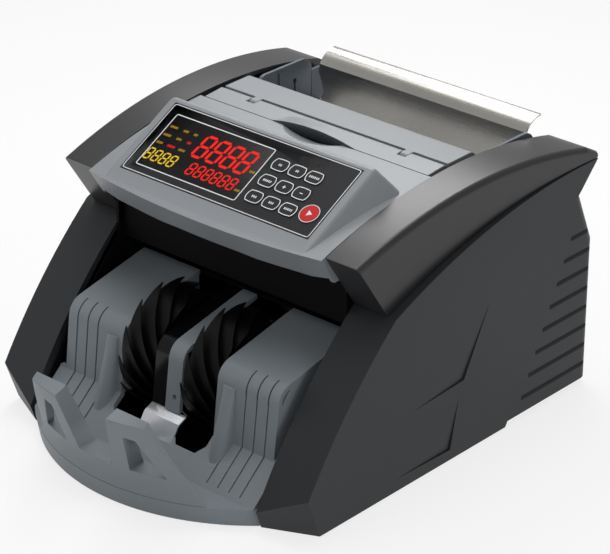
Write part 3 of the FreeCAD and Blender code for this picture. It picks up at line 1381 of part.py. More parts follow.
def stacker_stop():
    """Note stop on the rim: two tapered plates that lean out, each with a window, and a low saddle."""
    owner = body("stacker_stop")
    back_foot = "(-tray_reach + stop_thick + (lean_start - rim_height)*stop_lean)"
    back_top = "(-tray_reach + stop_thick - (stop_height + stop_rise - lean_start)*stop_lean)"
    front_top = "(-tray_reach - (stop_height - lean_start)*stop_lean)"
    flat = sketch(owner, "YZ")
    loop(flat, [
        ("-tray_reach - 40", "rim_height"),
        (back_foot, "rim_height"),
        (back_top, "stop_height + stop_rise"),
        (front_top, "stop_height"),
        ("-tray_reach - 40", "stop_height - 8"),
    ])
    pad(owner, flat, "2*stop_foot", both=True)
    rim_front(owner, "stop_lean", "lean_start")
    outline = sketch(owner, "XZ")
    loop(outline, [
        ("-stop_inner", "stop_height + 20"),
        ("-stop_inner", "stop_height"),
        ("-stop_saddle", "saddle_height"),
        ("stop_saddle", "saddle_height"),
        ("stop_inner", "stop_height"),
        ("stop_inner", "stop_height + 20"),
    ])
    for side in (1, -1):
        loop(outline, [
            ("%d*(stop_foot + 20)" % side, "rim_height - 1"),
            ("%d*(stop_foot + 20)" % side, "stop_height + 20"),
            ("%d*stop_outer" % side, "stop_height + 20"),
            ("%d*stop_outer" % side, "stop_height"),
            ("%d*stop_foot" % side, "rim_height - 1"),
        ])
        loop(outline, [
            ("%d*27.5" % side, "saddle_height"),
            ("%d*50" % side, "saddle_height"),
            ("%d*38.5" % side, "stop_height - 11.5"),
            ("%d*30" % side, "stop_height - 11.5"),
        ])
    pocket(owner, outline, "tray_reach + 60", back=True)
    return owner


def strip_outline(flat, back, foot):
    """Section of the strips between the wheels, set behind the face of the blocks."""
    loop(flat, [
        ("-block_foot + %s" % back, "block_foot_height + %s" % foot),
        ("-block_foot + %s + block_sheet" % back, "block_foot_height + %s" % foot),
        ("-block_brow + %s + block_sheet + 1" % back, "block_brow_height - block_sheet - %s" % back),
        ("-block_rear", "block_rear_height - block_sheet - %s" % back),
        ("-block_rear", "block_rear_height - %s" % back),
        ("-block_brow + %s" % back, "block_brow_height - %s" % back),
    ])


def centre_guide():
    """Narrow strip between the wheels with a sensor hole, set a little behind the blocks."""
    owner = body("centre_guide")
    flat = sketch(owner, "YZ", "-strip_left")
    strip_outline(flat, "1", "2.5")
    pad(owner, flat, "strip_left + strip_right")
    soften(owner, "block_round", [("0", "-block_brow + 1", "block_brow_height - 1")])
    eye = sketch(owner, "XZ", "block_foot + 5")
    disc(eye, "(strip_right - strip_left)/2 + 1", "block_foot_height + 12", "1.6")
    pocket(owner, eye, "20")
    return owner


def sensor_window():
    """Dark glossy strip beside the centre guide, over the note sensors."""
    owner = body("sensor_window")
    flat = sketch(owner, "YZ", "-reflector_half")
    strip_outline(flat, "2.5", "2.5")
    pad(owner, flat, "reflector_half - strip_left - seam_gap")
    soften(owner, "block_round", [("-5", "-block_brow + 2.5", "block_brow_height - 2.5")])
    return owner


def reflector_plate():
    """Bright bent plate on the tray between the wheels."""
    owner = body("reflector_plate")
    flat = sketch(owner, "YZ")
    loop(flat, [
        ("-block_foot + 2.5", "block_foot_height + 2"),
        ("-block_foot - 4.5", "block_foot_height - 1"),
        ("-ramp_start + 12.5", "block_foot_height - 12"),
        ("-ramp_start + 13.5", "block_foot_height - 12.8"),
        ("-block_foot - 3.9", "block_foot_height - 2.1"),
        ("-block_foot + 2.5", "block_foot_height + 0.8"),
    ])
    pad(owner, flat, "2*reflector_half", both=True)
    return owner


# Electrics
def main_board():
    """Control board on spacers over the base pan, with its larger components."""
    owner = body("main_board")
    flat = sketch(owner, "XY", PAN_TOP + " + 6")
    rectangle(flat, "-10", "80", "80", "132")
    pad(owner, flat, "1.6")
    spacers = sketch(owner, "XY", PAN_TOP)
    for across in ("-6", "76"):
        for forward in ("84", "128"):
            disc(spacers, across, forward, "3")
    pad(owner, spacers, "6")
    parts = sketch(owner, "XY", PAN_TOP + " + 7.6")
    disc(parts, "2", "92", "6")
    disc(parts, "18", "92", "6")
    rectangle(parts, "30", "96", "54", "120")
    rectangle(parts, "62", "88", "74", "124")
    pad(owner, parts, "9")
    return owner


def transformer():
    """Mains transformer: stacked core with a winding block and two feet."""
    core = box("transformer_core", "58", "22", "50", "-78", "90", PAN_TOP)
    coil = box("transformer_coil", "36", "42", "34", "-67", "80", PAN_TOP + " + 8")
    tabs = box("transformer_tabs", "76", "14", "2", "-87", "94", PAN_TOP)
    return fuse("transformer", [core, coil, tabs])


def entry_outline(flat, up, wide, tall, grow):
    """Rectangle on the back, centred under the mains inlet's place."""
    half = "(%s/2 + %s)" % (wide, grow)
    rise = "(%s/2 + %s)" % (tall, grow)
    rectangle(flat, "-inlet_across - " + half, "%s - %s" % (up, rise),
              "-inlet_across + " + half, "%s + %s" % (up, rise))


def power_entry():
    """Mains inlet with three pins, and the frame of the power switch above it."""
    owner = body("power_entry")
    switch = "inlet_height + switch_rise"
    seat = "-rear_reach + entry_flange"
    flange = sketch(owner, "XZ", seat)
    rectangle(flange, "-inlet_across - inlet_wide/2 - 3", "inlet_height - inlet_tall/2 - 3",
              "-inlet_across + inlet_wide/2 + 3", switch + " + switch_tall/2 + 3")
    pad(owner, flange, "entry_flange", back=True)
    bodies = sketch(owner, "XZ", seat)
    entry_outline(bodies, "inlet_height", "inlet_wide", "inlet_tall", "0")
    entry_outline(bodies, switch, "switch_wide", "switch_tall", "0")
    pad(owner, bodies, "inlet_deep")
    hollows = sketch(owner, "XZ", "-rear_reach")
    entry_outline(hollows, "inlet_height", "inlet_wide", "inlet_tall", "-1.5")
    entry_outline(hollows, switch, "switch_wide", "switch_tall", "-1.5")
    pocket(owner, hollows, "inlet_deep - 4", back=True)
    pins = sketch(owner, "XZ", seat + " + inlet_deep - 4.5")
    for across, up in (("-7", "-2"), ("0", "3"), ("7", "-2")):
        rectangle(pins, "-inlet_across + %s - 1" % across, "inlet_height + %s - 2" % up,
                  "-inlet_across + %s + 1" % across, "inlet_height + %s + 2" % up)
    pad(owner, pins, "inlet_deep - 6", back=True)
    return owner


def power_rocker():
    """Rocker of the power switch, leaning to its off side."""
    owner = body("power_rocker")
    half = "(switch_tall/2 - 3)"
    flat = sketch(owner, "YZ")
    loop(flat, [
        ("-8", "-2"),
        ("-2", "-%s" % half),
        ("2.2", "-%s" % half),
        ("1", "0"),
        ("2.2", half),
        ("-2", half),
        ("-8", "2"),
    ])
    pad(owner, flat, "switch_wide - 4", both=True)
    owner.Placement = FreeCAD.Placement(Vector(), Rotation(Vector(1, 0, 0), size("rocker_lean")))
    owner.setExpression(".Placement.Rotation.Angle", link("rocker_lean"))
    return place_at(owner, "-inlet_across", "rear_reach - 4", "inlet_height + switch_rise")


def write_all():
    """Check every object, then write each piece to its own file."""
    document.recompute()
    for item in document.Objects:
        if {"Invalid", "Error"} & set(item.State):
            raise RuntimeError("%s failed: %s" % (item.Label, item.State))
    os.makedirs("parts", exist_ok=True)
    for item in NODES:
        if item.Shape.isNull() or not item.Shape.isValid():
            raise RuntimeError(item.Label + " has no valid shape")
        item.Shape.exportStep(os.path.join("parts", item.Label + ".step"))


# The machine, from the table up
keep(base_pan(), "base_pan")
keep(feet(), "rubber_feet")
mirrored(keep(side_frame(), "right_side_frame"), "left_side_frame")
keep(tie_rods(), "tie_rods")
keep(bearings(), "shaft_bearings")
keep(main_board(), "main_board")
keep(transformer(), "transformer")
keep(motor(), "main_motor")
keep(motor_pulley(), "motor_pulley")

keep(turned_shaft("pickup_shaft", *AXLES[0], [("pickup_pulley", BELT_SECOND)]), "pickup_shaft")
keep(turned_shaft("feed_shaft", *AXLES[1],
                  [("feed_pulley", BELT_FIRST), ("pickup_drive", BELT_SECOND)]), "feed_shaft")
keep(turned_shaft("transport_shaft", *AXLES[2],
                  [("transport_pulley", BELT_FIRST), ("stacker_drive", BELT_SECOND)]), "transport_shaft")
keep(turned_shaft("stacker_shaft", *AXLES[4], [("stacker_pulley", BELT_SECOND)]), "stacker_shaft")
keep(rollers("pickup_rollers", "pickup_radius", "pickup_width",
             ("-feed_across/2", "feed_across/2"), *AXLES[0]), "pickup_rollers")
keep(rollers("feed_rollers", "feed_radius", "feed_width",
             ("-feed_across", "0", "feed_across"), *AXLES[1]), "feed_rollers")
keep(rollers("transport_rollers", "transport_radius", "transport_width",
             TRANSPORT_PLACES, *AXLES[2]), "transport_rollers")
keep(pinch_rollers(), "pinch_rollers")
keep(stacker_wheel("right_stacker_wheel", 1), "right_stacker_wheel")
keep(stacker_wheel("left_stacker_wheel", -1), "left_stacker_wheel")
keep(belt("drive_belt", [
    ("motor_reach", "motor_height", "drive_radius"),
    (*AXLES[1], "feed_pulley"),
    (*AXLES[2], "transport_pulley"),
], BELT_FIRST), "drive_belt")
keep(belt("pickup_belt", [
    (*AXLES[0], "pickup_pulley"),
    (*AXLES[1], "pickup_drive"),
], BELT_SECOND), "pickup_belt")
keep(belt("stacker_belt", [
    (*AXLES[2], "stacker_drive"),
    (*AXLES[4], "stacker_pulley"),
], BELT_SECOND), "stacker_belt")

keep(stacker_tray(), "stacker_tray")
keep(centre_guide(), "centre_guide")
keep(sensor_window(), "sensor_window")
keep(reflector_plate(), "reflector_plate")
keep(stacker_stop(), "stacker_stop")
keep(lower_guide(), "lower_guide")
keep(upper_guide(), "upper_guide")
keep(feed_deck(), "feed_deck")
keep(retard_block(), "retard_block")
keep(hopper_front_guide(), "hopper_front_guide")
keep(hopper_back_plate(), "hopper_back_plate")
mirrored(keep(hopper_wall(), "right_hopper_wall"), "left_hopper_wall")
keep(lid(), "lid")
keep(rod("lid_hinge_pin", "pin_radius", "-lid_width/2", "lid_width", "hinge_reach", HINGE_HEIGHT),
     "lid_hinge_pin")

keep(control_housing(), "control_housing")
keep(overlay(), "membrane_overlay")
keep(display_window(), "display_window")
keep(key_board(), "key_board")
for key_name, key_across, key_up in key_places():
    keep(key(key_name, key_across, key_up, False), key_name)
keep(key("start_key", "start_across", "start_up", True), "start_key")

mirrored(keep(side_cover(), "right_side_cover"), "left_side_cover")
mirrored(keep(shoulder_cover(), "right_shoulder_cover"), "left_shoulder_cover")
keep(rear_cover(), "rear_cover")
keep(power_entry(), "power_entry")
keep(power_rocker(), "power_rocker")
write_all()
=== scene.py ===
import bmesh
import bpy
import math
from mathutils import Matrix, Vector


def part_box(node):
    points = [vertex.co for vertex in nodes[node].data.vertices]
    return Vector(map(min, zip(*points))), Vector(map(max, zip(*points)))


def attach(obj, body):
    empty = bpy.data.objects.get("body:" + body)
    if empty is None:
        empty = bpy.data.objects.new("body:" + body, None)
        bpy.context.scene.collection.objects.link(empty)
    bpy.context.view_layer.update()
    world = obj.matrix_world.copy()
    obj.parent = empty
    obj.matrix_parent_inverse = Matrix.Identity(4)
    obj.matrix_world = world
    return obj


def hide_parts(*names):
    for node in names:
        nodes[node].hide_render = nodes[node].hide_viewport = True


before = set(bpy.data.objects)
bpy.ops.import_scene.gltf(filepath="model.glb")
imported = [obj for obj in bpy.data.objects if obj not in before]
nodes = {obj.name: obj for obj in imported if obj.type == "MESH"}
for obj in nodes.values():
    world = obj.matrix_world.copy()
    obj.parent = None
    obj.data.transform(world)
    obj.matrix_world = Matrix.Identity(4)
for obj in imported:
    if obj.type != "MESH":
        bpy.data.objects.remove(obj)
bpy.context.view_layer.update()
scene = bpy.context.scene


# Motor, transformer and hinge pin in zinc plate, and tie rods in black oxide, inside the covers.
# Plating leaves a faint cloudy spangle on the cans and rods, and handling leaves fine scratches.
FINE_DETAIL = 3.0
SPANGLE_SHADE = 0.78
SCRATCH_SIZE = 0.0009
SCRATCH_RANGE = 0.22
SCRATCH_DEPTH = 0.00002
SCRATCH_STRENGTH = 0.4


def linear(red, green, blue):
    """A colour read off the object, 0 to 255 a channel, as the linear colour a shader takes."""
    shares = [value / 255 for value in (red, green, blue)]
    return tuple(s / 12.92 if s < 0.04045 else ((s + 0.055) / 1.055) ** 2.4 for s in shares) + (1.0,)


def darker(colour, share):
    """A colour with its channels taken down, or up with a share above 1."""
    return tuple(value * share for value in colour[:3]) + (1.0,)


class Sum:
    """A shader value that takes part in Python sums: each sum adds its Math node."""

    def __init__(self, graph, socket):
        self.graph = graph
        self.socket = socket

    def join(self, operation, *others):
        return self.graph.node("Math", {"operation": operation}, 0, dict(enumerate((self, *others))))

    def __add__(self, other):
        return self.join("ADD", other)

    def __sub__(self, other):
        return self.join("SUBTRACT", other)

    def __mul__(self, other):
        return self.join("MULTIPLY", other)

    def __rsub__(self, other):
        return self * -1 + other

    __radd__ = __add__
    __rmul__ = __mul__


class Graph:
    """The nodes of one material or of the sky, all made by one method."""

    def __init__(self, tree):
        self.tree = tree

    def feed(self, socket, value):
        """Link a shader value to a socket, or set a plain one on it."""
        if isinstance(value, Sum):
            self.tree.links.new(value.socket, socket)
        else:
            socket.default_value = value

    def node(self, kind, settings, output, inputs):
        """A node with its settings, then its inputs by name or place. Gives one of its outputs."""
        made = self.tree.nodes.new("ShaderNode" + kind)
        for label, value in settings.items():
            setattr(made, label, value)
        for label, value in inputs.items():
            self.feed(made.inputs[label], value)
        return Sum(self, made.outputs[output])


class Finish(Graph):
    """A material: one shader, and the nodes that vary its colour, roughness and surface."""

    def __init__(self, name, **settings):
        self.material = bpy.data.materials.new(name)
        self.material.use_nodes = True
        super().__init__(self.material.node_tree)
        self.shader = self.tree.nodes["Principled BSDF"]
        for label, value in settings.items():
            self.shade(label, value)

    def shade(self, label, value):
        """Set or link one socket of the shader, named in small letters."""
        self.feed(self.shader.inputs[label.replace("_", " ").title().replace("Ior", "IOR")], value)
        return self

    def noise(self, size, detail=2.0, stretch=(1, 1, 1)):
        """Cloud of one feature size in metres, about 0.5 in the middle."""
        spot = self.node("TexCoord", {}, "Object", {})
        scaled = self.node("Mapping", {}, "Vector", {"Vector": spot, "Scale": stretch})
        return self.node("TexNoise", {}, "Fac", {"Vector": scaled, "Scale": 1 / size, "Detail": detail})

    def mix(self, factor, first, second):
        """Colour between two colours."""
        return self.node("Mix", {"data_type": "RGBA"}, 2, {0: factor, 6: first, 7: second})

    def bump(self, height, depth, strength):
        """Surface relief: height from 0 to 1 over that depth in metres."""
        sizes = {"Height": height, "Distance": depth, "Strength": strength}
        return self.shade("normal", self.node("Bump", {}, "Normal", sizes))


def dress(finish, *names):
    """Give CAD nodes their finish."""
    for name in names:
        slots = nodes[name].data.materials
        slots.clear()
        slots.append(finish.material)


def steel(name, colour, roughness, cloud_size, stretch=(1, 1, 1)):
    """Bare or plated steel: cloudy tone and fine directional scratches."""
    finish = Finish(name, metallic=1.0)
    cloud = finish.noise(cloud_size)
    scratch = finish.noise(SCRATCH_SIZE, FINE_DETAIL, stretch)
    finish.shade("base_color", finish.mix(cloud, darker(colour, SPANGLE_SHADE), colour))
    finish.shade("roughness", (scratch - 0.5) * SCRATCH_RANGE + roughness)
    return finish.bump(scratch, SCRATCH_DEPTH, SCRATCH_STRENGTH)


zinc = steel("zinc_plated_sheet", linear(176, 178, 180), roughness=0.42, cloud_size=0.012)
dress(zinc, "main_motor", "transformer", "lid_hinge_pin")
blackened = steel("black_oxide_steel", linear(58, 59, 61), roughness=0.45, cloud_size=0.012)
dress(blackened, "tie_rods")


# Side frames, base pan, note guides and feed deck: black sheet and black mouldings of the note path.
# Sheet parts are powder coated, mouldings spark-textured; both are nearly black and dull.
DRIFT_SIZE = 0.06
DRIFT_RANGE = 0.08
DRIFT_DARK = 0.93
DRIFT_LIGHT = 1.06
GRAIN_DETAIL = 1.5
GRAIN_RANGE = 0.1
GRAIN_STRENGTH = 0.5


def moulding(name, colour, roughness, grain=0.0006, relief=0.00004, gloss=0.5):
    """Moulded plastic: spark-eroded grain from the tool, a slow drift of tone and of sheen."""
    finish = Finish(name, specular_ior_level=gloss)
    drift = finish.noise(DRIFT_SIZE, FINE_DETAIL)
    texture = finish.noise(grain, GRAIN_DETAIL)
    finish.shade("base_color", finish.mix(drift, darker(colour, DRIFT_DARK), darker(colour, DRIFT_LIGHT)))
    finish.shade("roughness", (texture - 0.5) * GRAIN_RANGE + (drift - 0.5) * DRIFT_RANGE + roughness)
    return finish.bump(texture, relief, GRAIN_STRENGTH)


path_black = moulding("note_path_black", linear(6, 6, 7), roughness=0.66, gloss=0.08)
dress(path_black, "left_side_frame", "right_side_frame", "base_pan")
dress(path_black, "upper_guide", "lower_guide", "feed_deck")


# Circuit boards: green solder mask over glass cloth, one under the keys and one on the base pan.
# They are seen only with the covers off.
WEAVE_SIZE = 0.0012
WEAVE_STRETCH = (1, 3, 1)
board_green = Finish("solder_mask", roughness=0.35, coat_weight=0.3)
weave = board_green.noise(WEAVE_SIZE, 1.0, WEAVE_STRETCH)
board_green.shade("base_color", board_green.mix(weave, linear(14, 66, 42), linear(24, 84, 54)))
dress(board_green, "main_board", "key_board")


# Shafts with their pulleys, the pinch roller and the bearings: ground steel, turned alloy and bronze.
# Turning leaves rings round each axis, so the scratches run round the X axis.
TURNED = (6, 1, 1)
ground = steel("ground_shaft", linear(188, 189, 191), roughness=0.3, cloud_size=0.02, stretch=TURNED)
dress(ground, "pickup_shaft", "feed_shaft", "transport_shaft", "stacker_shaft", "pinch_rollers")
alloy = steel("turned_alloy", linear(200, 201, 204), roughness=0.35, cloud_size=0.01, stretch=TURNED)
dress(alloy, "motor_pulley")
bronze = steel("sintered_bronze", linear(172, 130, 78), roughness=0.5, cloud_size=0.004)
dress(bronze, "shaft_bearings")


# Rollers, retard block, belts and feet: rubber, moulded and then ground to size.
# It is dull, with a dusty bloom that makes patches slightly paler.
BLOOM_SIZE = 0.008
BLOOM_DETAIL = 4.0
BLOOM_DARK = 0.8
BLOOM_LIGHT = 1.25
BLOOM_RANGE = 0.15
RUBBER_ROUGHNESS = 0.68
GRIT_SIZE = 0.0004
GRIT_DEPTH = 0.00003
GRIT_STRENGTH = 0.6


def rubber(name, colour):
    """Rubber: patches of bloom over a ground, gritty surface."""
    finish = Finish(name, specular_ior_level=0.3)
    bloom = finish.noise(BLOOM_SIZE, BLOOM_DETAIL)
    grit = finish.noise(GRIT_SIZE, 1.0)
    finish.shade("base_color", finish.mix(bloom, darker(colour, BLOOM_DARK), darker(colour, BLOOM_LIGHT)))
    finish.shade("roughness", bloom * BLOOM_RANGE + RUBBER_ROUGHNESS)
    return finish.bump(grit, GRIT_DEPTH, GRIT_STRENGTH)


roller_brown = rubber("roller_rubber", linear(72, 66, 62))
dress(roller_brown, "pickup_rollers", "feed_rollers", "transport_rollers", "retard_block")
belt_black = rubber("belt_rubber", linear(24, 24, 25))
dress(belt_black, "drive_belt", "pickup_belt", "stacker_belt", "rubber_feet")


# Stacker wheels: soft black plastic, a hub with long thin vanes that wind outwards like a spring.
# A note drops between two vanes and is carried round to the stop, so the tips stand free of each other.
SIDES = ((-1, "left"), (1, "right"))
WHEEL_AXIS = Vector((0, -0.0615, 0.056))
WHEEL_ACROSS = 0.0265
WHEEL_HALF = 0.011
WHEEL_RADIUS = 0.0434
HUB_RADIUS = 0.013
HUB_CHAMFER = 0.001
HUB_SEGMENTS = 48
BORE_RADIUS = 0.0041
VANE_COUNT = 14
VANE_SWEEP = math.radians(215)
VANE_PHASE = math.radians(93)
VANE_ROOT = 0.0012
VANE_TIP = 0.0006
VANE_STEPS = 60
SLANT_START = 0.74
POINT_WIDTH = 0.0006
SMEAR_SIZE = 0.009
SMEAR_RANGE = 0.2
VANE_ROUGHNESS = 0.3
CRISP_ANGLE = math.radians(35)


def between(start, end, share):
    """The value that lies a share of the way from a start to an end."""
    return start + (end - start) * share


def add_wall(shape, before, after):
    """Quads between two closed loops of vertices."""
    for place in range(len(before)):
        shape.faces.new((before[place - 1], before[place], after[place], after[place - 1]))


def skinned(rows, ring=False):
    """A solid from loops of points: walls between the loops, and end faces unless they close a ring."""
    shape = bmesh.new()
    loops = [[shape.verts.new(point) for point in row] for row in rows]
    for before, after in zip(loops, loops[1:]):
        add_wall(shape, before, after)
    if ring:
        add_wall(shape, loops[-1], loops[0])
    else:
        shape.faces.new(loops[0])
        shape.faces.new(loops[-1])
    bmesh.ops.recalc_face_normals(shape, faces=shape.faces)
    return shape


def vane_shape():
    """One vane: a thin strip that winds out from the hub and is cut on the slant to a point."""
    rows = []
    for step in range(VANE_STEPS + 1):
        share = step / VANE_STEPS
        radius = between(HUB_RADIUS - VANE_ROOT / 2, WHEEL_RADIUS, share)
        turn = VANE_PHASE + VANE_SWEEP * (1 - share)
        thick = between(VANE_ROOT, VANE_TIP, share)
        slant = max(0, (share - SLANT_START) / (1 - SLANT_START))
        left, right = -WHEEL_HALF, between(WHEEL_HALF, POINT_WIDTH - WHEEL_HALF, slant)
        outward = Vector((0, math.cos(turn), math.sin(turn)))
        corners = ((left, 0), (right, 0), (right, -thick), (left, -thick))
        rows.append([outward * (radius + depth) + Vector((across, 0, 0)) for across, depth in corners])
    return skinned(rows)


def hub_shape(middle):
    """The hub: a short tube with broken edges, turned about the axis of the wheel."""
    rim = WHEEL_HALF - HUB_CHAMFER
    shoulder_radius = HUB_RADIUS - HUB_CHAMFER
    profile = ((-WHEEL_HALF, BORE_RADIUS), (WHEEL_HALF, BORE_RADIUS), (WHEEL_HALF, shoulder_radius),
               (rim, HUB_RADIUS), (-rim, HUB_RADIUS), (-WHEEL_HALF, shoulder_radius))
    rows = []
    for step in range(HUB_SEGMENTS):
        turn = 2 * math.pi * step / HUB_SEGMENTS
        outward = Vector((0, math.cos(turn), math.sin(turn)))
        rows.append([middle + outward * radius + Vector((across, 0, 0)) for across, radius in profile])
    return skinned(rows, ring=True)


def copy_nodes():
    """Nodes that set copies of a piece in a row, each turned further round the X axis, and paint them."""
    tree = bpy.data.node_groups.new("row_of_copies", "GeometryNodeTree")
    tree.interface.new_socket("Geometry", in_out="OUTPUT", socket_type="NodeSocketGeometry")
    kinds = (("Piece", "Object"), ("Count", "Int"), ("First", "Vector"), ("Step", "Vector"),
             ("Turn", "Float"), ("Finish", "Material"))
    sockets = {}
    for label, kind in kinds:
        made = tree.interface.new_socket(label, in_out="INPUT", socket_type="NodeSocket" + kind)
        sockets[label] = made.identifier
    given = tree.nodes.new("NodeGroupInput")
    line = tree.nodes.new("GeometryNodeMeshLine")
    number = tree.nodes.new("GeometryNodeInputIndex")
    angle = tree.nodes.new("ShaderNodeMath")
    angle.operation = "MULTIPLY"
    about = tree.nodes.new("ShaderNodeCombineXYZ")
    piece = tree.nodes.new("GeometryNodeObjectInfo")
    copies = tree.nodes.new("GeometryNodeInstanceOnPoints")
    solid = tree.nodes.new("GeometryNodeRealizeInstances")
    paint = tree.nodes.new("GeometryNodeSetMaterial")
    result = tree.nodes.new("NodeGroupOutput")
    for source, target in (
        (given.outputs["Count"], line.inputs["Count"]),
        (given.outputs["First"], line.inputs["Start Location"]),
        (given.outputs["Step"], line.inputs["Offset"]),
        (number.outputs[0], angle.inputs[0]),
        (given.outputs["Turn"], angle.inputs[1]),
        (angle.outputs[0], about.inputs["X"]),
        (given.outputs["Piece"], piece.inputs["Object"]),
        (line.outputs["Mesh"], copies.inputs["Points"]),
        (piece.outputs["Geometry"], copies.inputs["Instance"]),
        (about.outputs[0], copies.inputs["Rotation"]),
        (copies.outputs["Instances"], solid.inputs["Geometry"]),
        (solid.outputs["Geometry"], paint.inputs["Geometry"]),
        (given.outputs["Finish"], paint.inputs["Material"]),
        (paint.outputs["Geometry"], result.inputs["Geometry"]),
    ):
        tree.links.new(source, target)
    return tree, sockets


copy_tree, copy_sockets = copy_nodes()


def linked(name, data):
    """A new object in the scene."""
    made = bpy.data.objects.new(name, data)
    scene.collection.objects.link(made)
    return made


def mesh_of(name, shape):
    """A mesh from a bmesh, which is used up."""
    mesh = bpy.data.meshes.new(name)
    shape.to_mesh(mesh)
    shape.free()
    return mesh


def carried(piece, body):
    """Tell the frame which body a piece rides on."""
    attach(piece, body)
    return piece


def solid_piece(name, shape, finish, body="chassis"):
    """A finished piece from a bmesh that already lies in its place."""
    piece = linked(name, mesh_of(name, shape))
    piece.data.materials.append(finish.material)
    return carried(piece, body)


def row_of(name, unit, count, first, step, finish, body="chassis", turn=0.0):
    """Copies of one shape in a row, or turned round one place, as a plain mesh."""
    pattern = linked(name + "_unit", mesh_of(name + "_unit", unit))
    piece = linked(name, bpy.data.meshes.new(name + "_host"))
    row = piece.modifiers.new("row", "NODES")
    row.node_group = copy_tree
    values = {"Piece": pattern, "Count": count, "First": first, "Step": step, "Turn": turn,
              "Finish": finish.material}
    for label, value in values.items():
        row[copy_sockets[label]] = value
    made = bpy.data.meshes.new_from_object(piece.evaluated_get(bpy.context.evaluated_depsgraph_get()))
    piece.modifiers.clear()
    piece.data = made
    bpy.data.objects.remove(pattern)
    return carried(piece, body)


def crisp(piece, angle):
    """Smooth shading, with the edges that are sharper than an angle left crisp."""
    piece.data.shade_smooth()
    piece.data.set_sharp_from_angle(angle=angle)


wheel_black = Finish("vane_black", specular_ior_level=0.16)
smear = wheel_black.noise(SMEAR_SIZE, FINE_DETAIL)
wheel_black.shade("base_color", wheel_black.mix(smear, linear(3, 3, 3), linear(8, 7, 6)))
wheel_black.shade("roughness", smear * SMEAR_RANGE + VANE_ROUGHNESS)
for side, label in SIDES:
    wheel = label + "_stacker_wheel"
    wheel_middle = WHEEL_AXIS + Vector((side * WHEEL_ACROSS, 0, 0))
    vanes = row_of(wheel + "_vanes", vane_shape(), VANE_COUNT, wheel_middle, Vector((0, 0, 0)), wheel_black,
                   "stacker", 2 * math.pi / VANE_COUNT)
    hub = solid_piece(wheel + "_hub", hub_shape(wheel_middle), wheel_black, "stacker")
    crisp(vanes, CRISP_ANGLE)
    crisp(hub, CRISP_ANGLE)
    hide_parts(wheel)


# Apron of the base pan: the black sheet runs on under the wheels to the tray, so the bay is closed below.
# It is bent up at its front edge, where the tray's thick rim lies over it.
APRON_HALF = 0.072
APRON_SHEET = 0.0011
APRON_FRONT = -0.1265
APRON_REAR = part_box("base_pan")[0][1] + 0.0005
PAN_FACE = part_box("base_pan")[0][2]
APRON_FLOOR = PAN_FACE + APRON_SHEET
APRON_LIP = PAN_FACE + 2 * APRON_SHEET


def sheet_shape(points, start, end):
    """A flat or bent sheet: an outline of places in depth and height, drawn out across the machine."""
    return skinned([[(across, *point) for point in points] for across in (start, end)])


apron_points = ((APRON_REAR, PAN_FACE), (APRON_FRONT, PAN_FACE), (APRON_FRONT, APRON_LIP),
                (APRON_FRONT + APRON_SHEET, APRON_LIP), (APRON_FRONT + 2 * APRON_SHEET, APRON_FLOOR),
                (APRON_REAR, APRON_FLOOR))
apron = sheet_shape(apron_points, -APRON_HALF, APRON_HALF)
solid_piece("base_pan_apron", apron, path_black)


# Stacker tray and the centre guide: blue-grey mouldings in the front of the bay.
# The tool's parting edges are broken by a small radius, and the faces carry a fine grain.
TRIANGLE_JOIN = 0.000005
FLAT_ANGLE = math.radians(0.6)
EDGE_SEGMENTS = 2


def add_edge_radius(piece, width, angle):
    """Round the edges that are sharper than an angle, with flat faces shaded flat."""
    edge = piece.modifiers.new("edge_radius", "BEVEL")
    edge.width = width
    edge.segments = EDGE_SEGMENTS
    edge.limit_method = "ANGLE"
    edge.angle_limit = angle
    shading = piece.modifiers.new("flat_shading", "WEIGHTED_NORMAL")
    shading.keep_sharp = True
    return edge


def round_edges(width, degrees, *names):
    """Break the sharp edges of CAD nodes by a radius, once their triangles are joined to faces."""
    for name in names:
        node = nodes[name]
        node.data.polygons.foreach_set("use_smooth", [True] * len(node.data.polygons))
        weld = node.modifiers.new("join_triangles", "WELD")
        weld.merge_threshold = TRIANGLE_JOIN
        flat = node.modifiers.new("flat_faces", "DECIMATE")
        flat.decimate_type = "DISSOLVE"
        flat.angle_limit = FLAT_ANGLE
        add_edge_radius(node, width, math.radians(degrees)).miter_outer = "MITER_ARC"


tray_grey = moulding("bay_grey", linear(126, 133, 138), roughness=0.5, gloss=0.3)
dress(tray_grey, "stacker_tray", "centre_guide")
round_edges(0.0006, 24, "stacker_tray", "centre_guide")


# Stacker stop: a bowed moulding on the rim with two tapered towers that lean out over the edge.
# Each tower has a window, so that the last note in the tray can be seen.
RIM_AXIS = -0.0193
RIM_RADIUS = 0.1406
RIM_TOP = 0.01405
LEAN_START = 0.024
FRONT_LEAN = 0.33
BACK_FOOT = -0.1411
BACK_LEAN = 0.38
STOP_WALL = 0.0018
STOP_EDGE = 0.0004
STOP_MERGE = 0.00002
STOP_CRISP = math.radians(30)
TOWER_TOP = 0.069
TOWER_RISE = 0.0035
FOOT_HALF = 0.0706
TOP_OUTER = 0.047
TOP_INNER = 0.0213
SADDLE_HALF = 0.014
SADDLE_TOP = 0.031
WINDOW_TOP = 0.0575
WINDOW_PLACES = (0.027, 0.030, 0.0385, 0.0505)
COLUMN_STEP = 0.004
TOWER_MARKS = ((SADDLE_HALF, SADDLE_TOP), (TOP_INNER, TOWER_TOP), (TOP_OUTER, TOWER_TOP),
               (FOOT_HALF, RIM_TOP))
WINDOW_MARKS = tuple(zip(WINDOW_PLACES, (SADDLE_TOP, WINDOW_TOP, WINDOW_TOP, SADDLE_TOP)))


def height_along(marks, across):
    """Height of a line of straight runs between marks, at a distance from the middle."""
    across = min(max(abs(across), marks[0][0]), marks[-1][0])
    for (start, low), (end, high) in zip(marks, marks[1:]):
        if across <= end:
            return between(low, high, (across - start) / (end - start))


